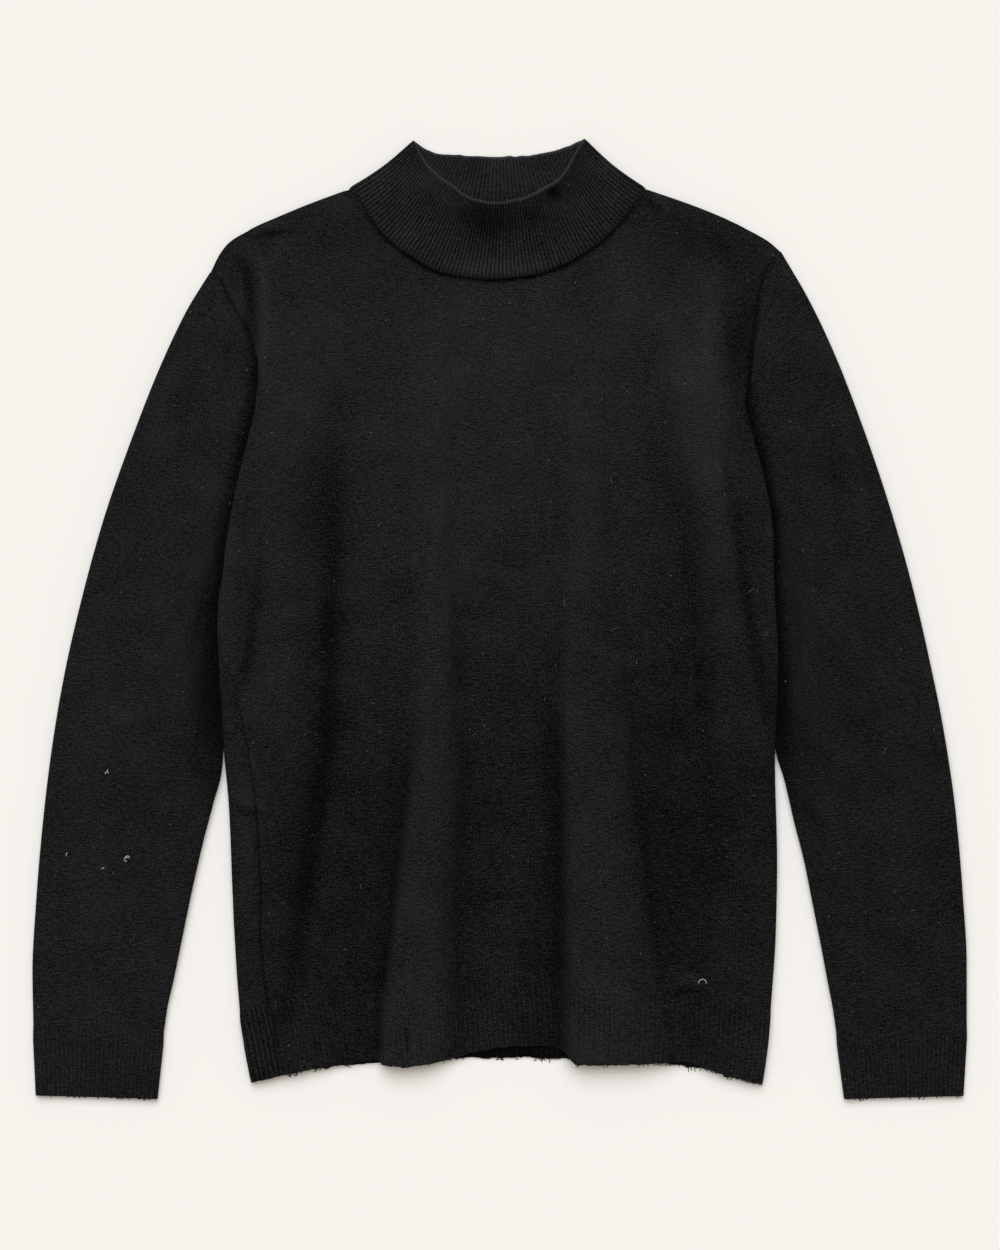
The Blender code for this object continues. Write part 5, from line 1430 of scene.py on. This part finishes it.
# %% Paper, light and camera
PAPER = 6.0             # metres from its middle to each edge
paper_mesh = bpy.data.meshes.new("paper")
paper_mesh.from_pydata([(-PAPER, -PAPER, 0), (PAPER, -PAPER, 0), (PAPER, PAPER, 0), (-PAPER, PAPER, 0)],
                       [], [(0, 1, 2, 3)])
paper_mesh.materials.append(plain_finish("warm_white_paper", "#eeecea", 0.95))
paper = add_object("paper", paper_mesh)
paper.location = (0, 0, -0.0002)

room = bpy.data.worlds.new("room")
room.use_nodes = True
background = room.node_tree.nodes["Background"].inputs
background[0].default_value = linear("#fdeedb")
background[1].default_value = 0.46
bpy.context.scene.world = room

lamp = bpy.data.lights.new("window", "SUN")
lamp.energy = 2.62
lamp.angle = np.radians(60)
lamp.color = (0.895, 0.955, 1.0)
window = add_object("window", lamp)
window.rotation_euler = Vector((-0.10, 0.52, 0.85)).to_track_quat("Z", "Y").to_euler()

SENSOR = 36
FRAME_HIGH = 0.975      # metres that the picture is high
lens = bpy.data.cameras.new("camera")
lens.lens = 100
lens.sensor_width = SENSOR
camera = add_object("camera", lens)
camera.location = (0.00031, -0.00479, FRAME_HIGH / SENSOR * lens.lens)
bpy.context.scene.camera = camera
bpy.context.scene.view_settings.view_transform = "Standard"
bpy.context.scene.view_settings.look = "None"

# %% [markdown]
# Each piece now takes the place of the solid it stands for, which is hidden, and moves with the whole
# sweater. The table also gives the size its cloth was cut to.

# %% What each piece stands for
CUTS = table("name node width length area rests_on", (
    ("front_cloth", "front_panel", 0.46, 0.62, 0.255, ["back_cloth"]),
    ("back_cloth", "back_panel", 0.46, 0.62, 0.256, []),
    ("sleeve_cloth_right", "sleeve_right", 0.34, 0.59, 0.127, []),
    ("sleeve_cloth_left", "sleeve_left", 0.34, 0.59, 0.127, []),
    ("hem_rib_front", "front_hem_rib", 0.45, 0.0585, 0.0247, ["hem_rib_back"]),
    ("hem_rib_back", "back_hem_rib", 0.45, 0.0585, 0.0260, []),
    ("cuff_rib_right", "cuff_right", 0.195, 0.057, 0.0109, []),
    ("cuff_rib_left", "cuff_left", 0.195, 0.057, 0.0109, []),
    ("collar_rib", "collar", 0.42, 0.06, 0.0240, []),
))
for cut in CUTS:
    piece = pieces[cut.name]
    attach(piece, "root")
    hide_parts(cut.node)
for piece, slot in strays:
    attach(piece, "root")
print("cloth pieces:", len(CUTS))
